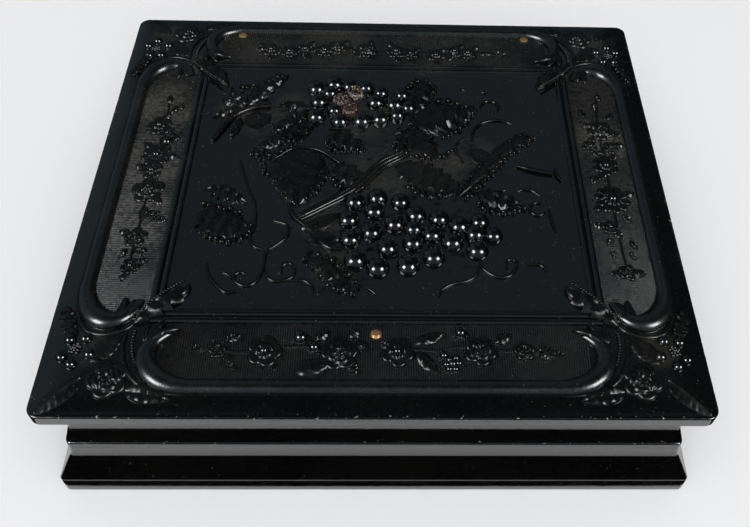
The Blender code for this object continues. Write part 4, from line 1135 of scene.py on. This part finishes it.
# Stems and tendrils: path, radius
STEMS = (
    (((-29.3, 9.3), (-28, 12), (-26, 15.5), (-23, 17.5), (-20, 18)), 0.5),
    (((-13.5, -7.1), (-9.2, -4.2), (-5.2, -1.1), (-2.7, 1.9), (-0.2, 4.9), (3.8, 7.4)), 0.36),
    (((-13.4, -7.6), (-9.1, -4.7), (-4.8, -1.6), (-2.2, 1.4), (0.3, 4.4), (4, 6.9)), 0.42),
    (((-13.2, -8.1), (-8.9, -5.2), (-4.4, -2.1), (-1.8, 0.9), (0.7, 3.9), (4.2, 6.4)), 0.34),
    (((-15, -4.5), (-14, -7), (-12, -9), (-10.5, -10.5), (-9.5, -12), (-8, -13.3), (-6, -13.6)), 0.42),
    (((23, 4.2), (26, 3.3), (29, 2.5)), 0.4),
    (((29.4, 3.6), (29.6, 2.4), (30.3, 1)), 0.35),
    (((-18, 5.5), (-15, 7.8), (-11, 7.5), (-7, 4.5)), 0.22),
    (((-18.6, 17.2), (-18.2, 18.6), (-17, 19.2)), 0.22),
    (((6.5, 11.5), (7, 10.3), (8, 9.2), (9.5, 8.5)), 0.28),
    (((4.5, 13.8), (7, 15), (10, 15.5)), 0.22),
    (((-9.5, 12.7), (-7.5, 12.6), (-5.5, 12.2)), 0.25),
    (((-2, -20.7), (-1.2, -21.3), (-0.5, -22)), 0.25),
)
TENDRILS = (
    ((-24, 5), (-22, -1), (-20.5, -4.5), (-20, -9), (-20.5, -11), (-19.8, -13), (-18.2, -13.7)),
    ((-17, -8), (-15, -8.7), (-14.6, -10), (-15, -11.5), (-17.5, -14), (-17.8, -16), (-18, -18), (-19, -20),
     (-20.5, -20.5), (-22, -19.5), (-22, -18.4), (-21, -18), (-20.3, -18.6)),
    ((-23.8, -18.2), (-23, -18.5), (-22.4, -19.2)),
    ((-26.5, -16.5), (-26, -18.5), (-24.5, -20.5), (-23, -21.7), (-21.5, -21.5)),
    ((-17.5, -17.5), (-17, -19), (-15.5, -19.6), (-13.5, -19), (-13, -17.5), (-13.8, -16.3), (-15, -16.8),
     (-15, -18.2)),
    ((-14, -19.4), (-11.5, -19.5), (-10.2, -20.5), (-9.9, -21.7)),
    ((14.2, 23.5), (14.5, 23.2), (15, 22.8)),
    ((18.1, 22.6), (18.5, 22.4), (19, 22.3)),
    (*circle(19.3, 18.6, 1.6, -60, 200),),
    ((15.7, 10), (16, 12.5), (17.5, 14.5), (20, 15.3), (22, 15), (23, 14.2)),
    ((14.8, 10.8), (13, 9.5), (12.8, 7.5), (14, 5)),
    ((18.8, -2), (19.6, -1.4), (20.6, -1.1)),
    ((22.7, -1.3), (23.6, -0.9), (25, -1), (26.3, -2.2)),
    (*circle(25.7, -5, 1.3, 60, 330),),
    ((27.5, -5), (27.8, -8), (28.3, -10)),
    ((15.5, -15.5), (16, -17), (18, -18.5), (20, -18.3), (21.3, -16.5), (21, -15.3), (19.8, -15.5), (19.7, -17)),
    ((23, -16.3), (25, -16.2), (26, -17.8)),
    ((15.3, -16.5), (15, -18), (13.5, -19.3), (11, -20), (9.5, -21), (9, -22.3)),
)


class CASE_OT_vine(bpy.types.Operator):
    """Lays the vine over the panel: leaves, ruffled edges, stems and tendrils"""

    bl_idname = "case.vine"
    bl_label = "Vine"

    def execute(self, context):
        leaves = Skin()
        for spine, left, right, height, teeth, veins in VINE_LEAVES:
            blade(leaves, seats(spine), left, right, height, teeth, veins)
        for spine, left, right, height in FLUTED_LEAVES:
            blade(leaves, seats(spine), left, right, height, flutes=5, rib=0.0)
        on_lid(leaves.build("vine_leaves", finish_of("relief")))
        ruffles = Skin()
        for path, gap, long, side in RUFFLED_EDGES:
            ruffle(ruffles, seats(path), gap, long, side)
        on_lid(ruffles.build("leaf_ruffles", finish_of("relief")))
        lines = [(seats(path), size, 0.25 + 0.3 * size) for path, size in STEMS]
        lines += [(seats(path), 0.27, 0.16) for path in TENDRILS]
        on_lid(tubes("stems_and_tendrils", lines, finish_of("relief")))
        return {"FINISHED"}


# How far the flowers behind the front strip open, over the radius given
STRIP_SPREAD, FRONT_STRIP_Y = 1.22, -30.0
# Roses: place, radius
STRIP_ROSES = (
    (-5.5, -31.8, 2.8), (14.8, -31.3, 2.5), (-23, -31.4, 1.35), (21.2, -31.3, 1.6), (-38.3, -1.5, 2.3),
    (-38.5, -11.3, 1.6), (38.8, 13.5, 2.0), (38.7, -17.3, 1.3), (-9, 34.8, 1.7), (-3.3, 34.1, 1.8),
)
# Flowers: place, radius, petals
STRIP_FLOWERS = (
    (-16.3, -31.5, 2.6, 5), (2.8, -31.5, 2.5, 5), (-39, 13.3, 1.8, 5), (-37.3, 11.3, 1.2, 5), (-38.3, 6.3, 2.2, 9),
    (-38.5, 2.8, 1.6, 5), (-36.5, -7, 1.0, 5), (-38.2, -16.8, 1.3, 5), (36.3, 9.3, 1.2, 5), (40, 9.3, 1.2, 5),
    (38.5, 5, 1.9, 6), (38.5, -2.5, 2.5, 10), (37.2, -8.5, 1.2, 5), (-21.5, 33.8, 1.6, 5), (-18, 33.3, 1.5, 5),
    (-15, 34.1, 1.5, 5), (-11.3, 33.8, 1.6, 5), (2.3, 33.8, 1.7, 5), (5, 33.1, 1.4, 5), (10, 32.8, 1.6, 5),
    (13.5, 34.1, 1.5, 5), (16, 33.6, 1.5, 5),
)
# Small leaves and buds: ends, half-width
STRIP_LEAVES = (
    (-26.7, -31, -25.1, -31, 0.4), (-22, -29.7, -19.8, -28.9, 0.75), (-21.8, -33, -20.2, -34.2, 0.5),
    (-8.9, -29.8, -7.3, -28.1, 0.8), (-11.7, -34.5, -6.7, -33.3, 1.3), (-3.2, -30.6, -1.5, -30.3, 0.9),
    (-4, -33.2, -3, -34.9, 0.9), (-4, -29.4, -3, -27.9, 0.8), (0.2, -30.1, 1.7, -30.9, 0.6),
    (5.2, -30.2, 9.8, -28.5, 0.95), (5.5, -31.5, 8.5, -34.8, 1.0), (17, -29.9, 19.5, -28.6, 0.85),
    (23.3, -31.4, 25, -30.6, 0.5), (24.5, -31.5, 27, -31.8, 0.5), (23.3, -31.8, 24.8, -32.9, 0.45),
    (-38.3, 18.8, -38.3, 21, 0.6), (-37.3, 16.2, -36.6, 18, 0.6), (-36.3, 16.6, -35.6, 18.4, 0.5),
    (-38.2, -5, -38.2, -8, 0.8), (-36.9, -13.3, -36.7, -15.2, 0.6), (-39.5, -13.5, -40.3, -15.3, 0.6),
    (39.5, 21, 39.6, 23, 0.6), (38.7, 18.6, 38.7, 20.5, 0.6), (36.3, 16.6, 35.6, 18.6, 0.7),
    (40.7, 16.2, 41.4, 18, 0.7), (36.3, 2.6, 35.6, 0.8, 0.7), (40, -5.6, 40.7, -7.4, 0.7),
    (37, -10.8, 36.4, -12.4, 0.6), (40.2, -11, 40.9, -12.8, 0.6), (37, -13.3, 36.5, -14.9, 0.55),
    (39.8, -13.3, 40.4, -14.9, 0.55), (-24.3, 33.4, -22.7, 34.2, 0.5), (18, 33.8, 20.5, 33.2, 0.6),
    (21, 34, 23.5, 33.6, 0.5), (-6.5, 35.1, -5.4, 33.4, 0.6),
)
# Berries: place, radius
STRIP_BERRIES = (
    (-11.2, -29.3, 1.0), (-9.2, -30.8, 0.75), (12, -28.4, 0.8), (-37, 9.3, 0.8), (9.5, -32, 0.55), (10.7, -33.3, 0.6),
    (11.6, -33.2, 0.55), (10.2, -34.1, 0.55), (11.1, -34.1, 0.5), (10.3, -32.7, 0.5), (11.2, -32.4, 0.5),
    (9.8, -33.4, 0.5),
)
STRIP_STEMS = (
    ((-27, -31), (-24.5, -31.2), (-20, -31.6), (-16, -31.2), (-11.5, -30.6), (-8, -31.5)),
    ((0.5, -31.2), (5, -31), (9, -31.2), (12.5, -30.6), (17.5, -31.2), (22, -31.2), (27, -31.7)),
    ((-38.4, 20), (-38, 15), (-38.2, 9), (-38.4, 0), (-38.3, -7), (-38.5, -14), (-38.2, -17)),
    ((39.4, 22.5), (38.7, 17), (38.4, 9), (38.5, 0), (38.4, -8), (38.5, -14), (38.7, -17)),
    ((-24.5, 33.8), (-18, 34), (-11, 34.2), (-3, 33.8), (4, 33.6), (11, 33.5), (18, 33.6), (24, 33.8)),
)


class CASE_OT_strip_sprays(bpy.types.Operator):
    """Sets a spray of roses, flowers, leaves and berries along each strip"""

    bl_idname = "case.strip_sprays"
    bl_label = "Strip sprays"

    def execute(self, context):
        sprays, hearts = Skin(), []
        for x, y, size in STRIP_ROSES:
            if y > FRONT_STRIP_Y:
                size *= STRIP_SPREAD
                self.leaf_pair(sprays, x, y, size)
            rose(sprays, *seat(x, y, STRIP_LIFT), size)
        for x, y, size, count in STRIP_FLOWERS:
            px, py = seat(x, y, STRIP_LIFT)
            if y > FRONT_STRIP_Y:
                size *= STRIP_SPREAD
                self.leaf_pair(sprays, x, y, size)
            bloom(sprays, px, py, size, ((count, 1.0, 0.05), (count, 0.5, 0.2)), x + y, 0.5)
            hearts.append((px, py, float(ground(px, py)) + 0.45, 0.24 * size))
        for x0, y0, x1, y1, half in STRIP_LEAVES:
            ends = seats(((x0, y0), (x1, y1)), STRIP_LIFT)
            blade(sprays, ends, half, half, 0.5, veins=4, rows=14, columns=9, rib=0.1)
        on_lid(sprays.build("strip_sprays", finish_of("petal")))
        for x, y, size in STRIP_BERRIES:
            px, py = seat(x, y, STRIP_LIFT)
            hearts.append((px, py, float(ground(px, py)) + 0.3 * size, size))
        on_lid(balls("strip_berries", hearts, finish_of("gloss"), 14, 9))
        lines = [(seats(path, STRIP_LIFT), 0.2, 0.14) for path in STRIP_STEMS]
        on_lid(tubes("strip_stems", lines, finish_of("relief")))
        return {"FINISHED"}

    @staticmethod
    def leaf_pair(skin, x, y, size):
        """Two leaves from under a flower, slanting off along its strip."""
        for k in (0, 1):
            angle = 1.3 * x + 0.9 * y + k * (2.6 + 0.4 * math.sin(x))
            ends = [(x + d * math.cos(angle), y + d * math.sin(angle)) for d in (0.7 * size, size + 1.3)]
            blade(skin, seats(ends, STRIP_LIFT), 0.75, 0.75, 0.42, veins=3, rows=16, columns=9, rib=0.12)


# One corner's leaves: spine, left and right half-widths, height, teeth, veins, rib, raised rim
CORNER_LEAVES = (
    (((-41.4, -35.9), (-44.6, -38.8), (-46.7, -40.9)), 1.5, 1.3, 0.2, 0, 7, -0.2, 0.0),
    (((-34.8, -37.8), (-31.9, -38.3), (-28.6, -39.1)), 1.4, 1.4, 0.5, 0, 5, 0.16, 0.7),
    (((-40.9, -33.2), (-39.0, -31.4), (-36.7, -29.3)), 1.6, 1.5, 0.3, 0, 6, 0.12, 0.0),
    (((-32.8, -30.8), (-31.4, -29.3), (-28.6, -28.3)), 0.9, 0.7, 1.15, 2, 0, 0.1, 0.2),
    (((-32.9, -30.6), (-32.1, -28.8), (-30.9, -26.9)), 0.8, 0.8, 1.0, 2, 0, 0.1, 0.2),
    (((-33.3, -30.6), (-33.4, -29), (-33.1, -27.5)), 0.7, 0.7, 0.8, 0, 0, 0.1, 0.2),
    (((-38.8, -26.2), (-36.8, -25.4), (-36, -23.2)), 0.9, 0.8, 0.9, 2, 0, 0.1, 0.2),
    (((-38.4, -26), (-37.6, -24.6), (-37.6, -22.8)), 0.7, 0.7, 0.8, 0, 0, 0.1, 0.2),
)
CORNER_BEADS = (
    ((-43.6, -25.4), (-41.9, -27.4), (-39.7, -27.8), (-37.4, -26.9), (-35.7, -26.2)),
    ((-35.1, -28.6), (-35.1, -30.8), (-34.2, -33.6), (-32.7, -35.6), (-30.9, -36.8)),
)
CORNER_RIMS = (
    ((-44.6, -22), (-44.0, -25.6), (-42.2, -28.2), (-39.4, -28.9), (-36.8, -28.2), (-35.4, -27)),
    ((-36.2, -28.4), (-36.4, -31.4), (-35.1, -34.8), (-32.5, -37.2), (-29.6, -38.0), (-26.5, -38.2)),
)
CORNER_ROSE, CORNER_FLOWER = (-37.7, -36.0), (-43.1, -31.3)
CORNER_LOBES = ((-41.9, -29.6), (-44.2, -29.7), (-44.8, -32.5), (-43.2, -33.7), (-40.9, -32.2))
CORNER_FERN = ((-44.2, -28.7), (-45.2, -26.7), (-46.1, -24.6))
ACANTHUS = ((-35.7, -27.2), (-32.7, -23.8), (-28.4, -20.5))
ACANTHUS_BEADS = ((-35.6, -26.2), (-34.4, -25.0), (-32.0, -22.5), (-29.4, -20.4))


class CASE_OT_corner_sprays(bpy.types.Operator):
    """Builds one corner's rose, flower, leaves, beaded bands and acanthus, and reflects it to all four"""

    bl_idname = "case.corner_sprays"
    bl_label = "Corner sprays"

    def execute(self, context):
        corner = Skin()
        rose(corner, *seat(*CORNER_ROSE, ROSE_LIFT), 3.0)
        for spine, left, right, height, teeth, veins, rib, rim in CORNER_LEAVES:
            blade(corner, seats(spine, CORNER_LIFT), left, right, height, teeth, veins, rib=rib, cup=rim, vein=0.08)
        blade(corner, seats(ACANTHUS), 0.9, 2.3, 0.9, 5, 5, low=0.3, peak=1.1, vein=0.12)
        for side in (-1, 1):
            ruffle(corner, seats(CORNER_FERN, FERN_LIFT), 0.52, 1.5, side)
        x, y = seat(*CORNER_FLOWER, FLOWER_LIFT)
        buds = [(*spot, float(ground(*spot)) + 0.05, 0.85) for spot in seats(CORNER_LOBES, FLOWER_LIFT)]
        for k in range(13):
            px, py = x + 0.24 * k**0.5 * math.cos(2.4 * k), y + 0.24 * k**0.5 * math.sin(2.4 * k)
            buds.append((px, py, float(ground(px, py)) + 0.4 - 0.02 * k, 0.24))
        beads = bead_line(seats(ACANTHUS_BEADS), 0.46, 0.24, 1.2)
        for path in CORNER_BEADS:
            beads += bead_line(seats(path, CORNER_LIFT), 0.46, 0.22, 0.3)
        lines = [(seats(path, CORNER_LIFT), 0.42, -0.05) for path in CORNER_RIMS]
        sprays, spots, blossoms, stems = Skin(), [], [], []
        for sx in (1.0, -1.0):
            for sy in (1.0, -1.0):
                sprays.join(corner.mirrored(sx, sy))
                spots += [(sx * x, sy * y, z, size) for x, y, z, size in beads]
                blossoms += [(sx * x, sy * y, z, size) for x, y, z, size in buds]
                stems += [(path * (sx, sy), size, lift) for path, size, lift in lines]
        on_lid(sprays.build("corner_sprays", finish_of("petal")))
        on_lid(balls("corner_beads", spots, finish_of("petal"), 8, 6))
        on_lid(balls("corner_buds", blossoms, finish_of("gloss"), 14, 9))
        on_lid(tubes("corner_bands", stems, finish_of("petal")))
        return {"FINISHED"}


def dressed(finish, *nodes):
    """Gives CAD nodes that keep their shape a finish."""
    for node in nodes:
        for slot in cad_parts[node].material_slots:
            slot.material = finish


class CASE_OT_brass(bpy.types.Operator):
    """Finishes the hinges, the clasp and their rivets in worn brass"""

    bl_idname = "case.brass"
    bl_label = "Brass fittings"

    def execute(self, context):
        names = [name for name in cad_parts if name.startswith(("hinge_", "clasp_"))]
        dressed(finish_of("brass"), *names)
        return {"FINISHED"}


# Half-axes of the mat's window where its lip starts and ends, and the border of the preserver's beads
LIP_TOP, LIP_EDGE, LIP_UNDER = (29.1, 23.1), (28.2, 22.2), (28.3, 22.3)
BEAD_BORDER, BEAD_GAP, BEAD_RADIUS = (38.7, 32.1), 0.75, 0.28


class CASE_OT_packet(bpy.types.Operator):
    """Finishes the bare plate, its mat, glass and preserver, with the mat's bevel and the preserver's beads"""

    bl_idname = "case.packet"
    bl_label = "Plate packet"

    def execute(self, context):
        dressed(finish_of("plate"), "image_plate")
        dressed(finish_of("mat"), "brass_mat")
        dressed(finish_of("glass"), "cover_glass")
        dressed(finish_of("foil"), "preserver")
        low, high = node_box("brass_mat")
        lip = Skin()
        section = (
            (*LIP_TOP, high[2] - 0.02), (*LIP_EDGE, low[2] - 0.12), (*LIP_UNDER, low[2] - 0.18), (*LIP_TOP, low[2]),
        )
        rows = []
        for turn in np.linspace(0.0, 2 * math.pi, 97)[:-1]:
            rows.append([(a * math.cos(turn), CAVITY_MID + b * math.sin(turn), z) for a, b, z in section])
        lip.grid(rows + rows[:1], wrap=True)
        piece = lip.build("mat_lip", finish_of("mat"), 25.0)
        self.seal(piece)
        settle(piece, "base", "mat_brass")
        top = node_box("preserver")[1][2]
        border = ring(*BEAD_BORDER, 0.4, CAVITY_MID, top - 0.05, 2)
        path = np.array(border + border[:1])
        run = np.concatenate([[0.0], np.cumsum(spans(path))])
        marks = np.arange(0.0, run[-1], BEAD_GAP)
        spots = [tuple(np.interp(m, run, path[:, k]) for k in range(3)) + (BEAD_RADIUS,) for m in marks]
        settle(balls("preserver_beads", spots, finish_of("foil"), 6, 5), "base", "mat_brass")
        return {"FINISHED"}

    @staticmethod
    def seal(piece):
        """Joins the first and last row of a closed sweep."""
        bm = bmesh.new()
        bm.from_mesh(piece.data)
        bmesh.ops.remove_doubles(bm, verts=bm.verts, dist=1e-7)
        bmesh.ops.recalc_face_normals(bm, faces=bm.faces)
        bm.to_mesh(piece.data)
        bm.free()


# The pad is blown up at ten times its size: voxels of its skin, pressure, how far a point may move, and frames
PAD_SCALE, PAD_VOXEL, PAD_PRESSURE, PAD_SWELL, PAD_FRAMES = 10.0, 0.016, 4.0, 0.009, 20
# The pad's form: inset, and height from its back or from its face
PAD_BACK = ((1.6, 0.0), (0.9, 0.6), (0.8, 2.6))
PAD_FACE = ((2.0, 2.2), (5.0, 1.0))


class CASE_OT_linings(bpy.types.Operator):
    """Makes the stuffed velvet pad, the velvet-covered retainer and the lid's card"""

    bl_idname = "case.linings"
    bl_label = "Linings"

    def execute(self, context):
        velvet = finish_of("velvet")
        dressed(finish_of("card"), "lid_card")
        settle(self.retainer(velvet), "base", "velvet", "velvet_retainer")
        pad = self.pad(velvet)
        settle(pad, "lid", "velvet", "velvet_pad")
        return {"FINISHED"}

    @staticmethod
    def retainer(velvet):
        """The retainer's strip, with its edges rounded by the cloth over them."""
        bm = bmesh.new()
        bm.from_mesh(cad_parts["velvet_retainer"].data)
        bmesh.ops.remove_doubles(bm, verts=bm.verts, dist=1e-6)
        bmesh.ops.dissolve_limit(bm, angle_limit=0.01, verts=bm.verts, edges=bm.edges)
        mesh = bpy.data.meshes.new("retainer_velvet")
        bm.to_mesh(mesh)
        bm.free()
        mesh.materials.clear()
        mesh.materials.append(velvet)
        piece = placed("retainer_velvet", mesh)
        round_off = piece.modifiers.new("round", "BEVEL")
        round_off.width, round_off.segments, round_off.limit_method = 0.28 * MM, 3, "ANGLE"
        plain(piece)
        piece.data.shade_smooth()
        piece.data.set_sharp_from_angle(angle=math.radians(60))
        return piece

    @staticmethod
    def pad(velvet):
        """A stuffed pad, blown up ten times as large and flat where it lies on its card."""
        low, high = node_box("velvet_pad")
        half_x, half_y = (high[0] - low[0]) / 2, (high[1] - low[1]) / 2
        mid = (high[1] + low[1]) / 2
        form = Skin()
        levels = [(inset, high[2] - down) for inset, down in PAD_BACK]
        levels += [(inset, low[2] + up) for inset, up in PAD_FACE]
        rows = [ring(half_x - inset, half_y - inset, 3.0, mid, z) for inset, z in levels]
        form.grid(rows[::-1], wrap=True, ends=(True, True))
        piece = form.build("pad_velvet", velvet)
        piece.data.transform(Matrix.Scale(PAD_SCALE, 4))
        skin = piece.modifiers.new("skin", "REMESH")
        skin.mode, skin.voxel_size = "VOXEL", PAD_VOXEL
        plain(piece)
        start = np.empty(len(piece.data.vertices) * 3)
        piece.data.vertices.foreach_get("co", start)
        moved = start.copy()
        cloth = piece.modifiers.new("stuffing", "CLOTH")
        cloth.settings.use_pressure = True
        cloth.settings.uniform_pressure_force = PAD_PRESSURE
        cloth.settings.effector_weights.gravity = 0.0
        for step in range(1, PAD_FRAMES + 1):
            bpy.context.scene.frame_set(step)
        graph = bpy.context.evaluated_depsgraph_get()
        blown = piece.evaluated_get(graph).to_mesh()
        blown.vertices.foreach_get("co", moved)
        piece.evaluated_get(graph).to_mesh_clear()
        piece.modifiers.clear()
        bpy.context.scene.frame_set(1)
        shift = (moved - start).reshape(-1, 3)
        length = np.linalg.norm(shift, axis=1)[:, None]
        shift *= np.minimum(1.0, PAD_SWELL / np.maximum(length, 1e-9))
        spots = (start.reshape(-1, 3) + shift) / PAD_SCALE
        bottom, top = np.array(low) * MM, np.array(high) * MM
        spots = np.clip(spots, bottom + 2e-5, top - 2e-5)
        piece.data.vertices.foreach_set("co", spots.ravel())
        piece.data.update()
        finer = piece.modifiers.new("finer", "SUBSURF")
        finer.levels = finer.render_levels = 1
        plain(piece)
        piece.data.materials.clear()
        piece.data.materials.append(velvet)
        piece.data.shade_smooth()
        return piece


# Lamps: name, bearing and height in degrees, size in metres, strength, and the kind of ray that passes them by
SOFTBOXES = (
    ("left_box", -53.0, 36.0, 0.34, 12.0, "visible_diffuse"),
    ("right_box", 53.0, 36.0, 0.34, 12.0, "visible_diffuse"),
    ("front_cloud", 0.0, 58.0, 0.9, 2.65, "visible_glossy"),
)
SOFTBOX_AWAY = 0.85
# Light of the room in reflections: everywhere, and more to the left, behind and in front; its tint
ROOM, ROOM_LEFT, ROOM_BACK, ROOM_FRONT = 0.018, 0.125, 0.09, 0.15
ROOM_TINT = (0.78, 1.0, 1.17, 1.0)
# Light of the room on matt surfaces
MATT_LEVEL, MATT_TINT = 0.5, (0.985, 0.99, 1.0, 1.0)
# Distances from the case at which the floor is painted black in reflections only: a painted shadow ring by the foot,
# and a painted dark reflection of all that lies beyond
PAINTED_SHADOW_RING, PAINTED_DARK_REFLECTION = ((1.12, 1.22), (2.3, 2.4)), (11.4, 12.4)
# Camera: pitch, yaw and roll in degrees, lens and shift
CAMERA_TURNS, CAMERA_LENS, CAMERA_SHIFT = (50.267, 2.849, 2.783), 42.03, (-0.0582, -0.0847)


class CASE_OT_stage(bpy.types.Operator):
    """Lays the pale floor and sets the lights and the camera"""

    bl_idname = "case.stage"
    bl_label = "Stage"

    def execute(self, context):
        scene = context.scene
        floor = Skin()
        floor.grid([[(x, y, -0.02) for x in (-1500.0, 1500.0)] for y in (-1500.0, 1500.0)])
        floor.build("floor", self.paper())
        self.world(scene)
        for name, bearing, height, size, strength, passing in SOFTBOXES:
            setattr(self.softbox(scene, name, bearing, height, size, strength), passing, False)
        self.camera(scene)
        scene.view_settings.view_transform = "Standard"
        return {"FINISHED"}

    @staticmethod
    def paper():
        """Pale floor which, in reflections only, has a painted shadow ring by the foot and is painted black a little
        way off.
        """
        f = Finish("floor_paper")
        x, y, _ = f.axes()
        off = 0 - f.inset(x, y, HALF_X, HALF_Y)
        # Painted shade and painted reflection: for glossy rays the floor turns black in a ring by the foot and beyond
        # a little way off
        dark = f.step(off, *PAINTED_DARK_REFLECTION) + f.step(off, *PAINTED_SHADOW_RING[0]) * (1 - f.step(off, *PAINTED_SHADOW_RING[1]))
        mirrored = f.node("ShaderNodeLightPath", out=3)
        paper = f.mix(f.noise(6.0), rgba(colours().floor, 0.985), rgba(colours().floor))
        paper = f.mix(mirrored * dark, paper, (0.0, 0.0, 0.0, 1.0))
        return f.shade(colour=paper, roughness=0.9, spec=0.0)

    @staticmethod
    def world(scene):
        """Even light on matt surfaces; in reflections, a dim room that is paler behind, in front and to the left."""
        world = bpy.data.worlds.new("room")
        scene.world = world
        world.use_nodes = True
        world.node_tree.nodes.clear()
        g = Graph(world.node_tree)
        way = g.node("ShaderNodeTexCoord", out=0)
        split = g.node("ShaderNodeSeparateXYZ", None, {0: way}).socket.node.outputs
        right, back, height = (Value(g, axis) for axis in split)
        wall = g.step(back, -0.1, 0.3) * (1 - g.step(g.maths("ABSOLUTE", right), 0.2, 0.5))
        wall = wall * (0.5 + 0.5 * g.step(height, 0.36, 0.52)) * (1 - g.step(height, 0.84, 0.96))
        ahead = g.step(0 - back, 0.1, 0.5) * (1 - g.step(height, 0.88, 1.0))
        left = g.step(0 - right, 0.3, 0.6) * (1 - g.step(height, 0.8, 0.95))
        room = ROOM + left * ROOM_LEFT + wall * ROOM_BACK + ahead * ROOM_FRONT
        matt = g.node("ShaderNodeLightPath", out=2)
        level = matt * MATT_LEVEL + (1 - matt) * room
        tint = g.mix(matt, ROOM_TINT, MATT_TINT)
        shine = g.node("ShaderNodeBackground", None, {"Color": tint, "Strength": level})
        g.node("ShaderNodeOutputWorld", None, {0: shine})

    @staticmethod
    def softbox(scene, name, bearing, height, size, strength):
        """A square lamp that faces the case."""
        lamp = bpy.data.lights.new(name, "AREA")
        lamp.size = size
        lamp.energy = strength * size**2 * math.pi
        made = bpy.data.objects.new(name, lamp)
        a, e = math.radians(bearing), math.radians(height)
        place = Vector((math.sin(a) * math.cos(e), -math.cos(a) * math.cos(e), math.sin(e))) * SOFTBOX_AWAY
        made.matrix_world = Matrix.Translation(place) @ place.to_track_quat("Z", "Y").to_matrix().to_4x4()
        scene.collection.objects.link(made)
        return made

    @staticmethod
    def camera(scene):
        pitch, yaw, roll = (math.radians(d) for d in CAMERA_TURNS)
        ahead = Vector((math.sin(yaw) * math.cos(pitch), math.cos(yaw) * math.cos(pitch), -math.sin(pitch)))
        level = Vector((math.cos(yaw), -math.sin(yaw), 0.0))
        above = level.cross(ahead)
        right = math.cos(roll) * level + math.sin(roll) * above
        up = -math.sin(roll) * level + math.cos(roll) * above
        lens = bpy.data.cameras.new("camera")
        lens.sensor_width, lens.lens = 36.0, CAMERA_LENS
        lens.shift_x, lens.shift_y = CAMERA_SHIFT
        lens.clip_start = 0.01
        made = bpy.data.objects.new("camera", lens)
        turn = Matrix((right, up, -ahead)).transposed().to_4x4()
        place = Vector((EYE[0], EYE[1], EYE[2] + EDGE_Z))
        made.matrix_world = Matrix.Translation(place * MM) @ turn
        scene.collection.objects.link(made)
        scene.camera = made


OPERATORS = (
    CASE_OT_shells,
    CASE_OT_panel_ground,
    CASE_OT_ruling,
    CASE_OT_scrolls,
    CASE_OT_grapes,
    CASE_OT_vine,
    CASE_OT_strip_sprays,
    CASE_OT_corner_sprays,
    CASE_OT_brass,
    CASE_OT_packet,
    CASE_OT_linings,
    CASE_OT_stage,
)


class CASE_PT_panel(bpy.types.Panel):
    """Lists the case's pieces"""

    bl_idname = "CASE_PT_panel"
    bl_label = "Union Case"
    bl_space_type = "VIEW_3D"
    bl_region_type = "UI"
    bl_category = "Union Case"

    def draw(self, context):
        for settings in (context.scene.case_sizes, context.scene.case_colours):
            for key in settings.bl_rna.properties.keys():
                if key not in ("rna_type", "name"):
                    self.layout.prop(settings, key)
        for operator in OPERATORS:
            self.layout.operator(operator.bl_idname)


CLASSES = (CaseColours, CaseSizes, *OPERATORS, CASE_PT_panel)


def register():
    for made in CLASSES:
        bpy.utils.register_class(made)
    bpy.types.Scene.case_colours = bpy.props.PointerProperty(type=CaseColours)
    bpy.types.Scene.case_sizes = bpy.props.PointerProperty(type=CaseSizes)


def unregister():
    del bpy.types.Scene.case_sizes, bpy.types.Scene.case_colours
    for made in reversed(CLASSES):
        bpy.utils.unregister_class(made)


def main():
    register()
    for operator in OPERATORS:
        family, name = operator.bl_idname.split(".")
        getattr(getattr(bpy.ops, family), name)()


if __name__ == "__main__":
    main()
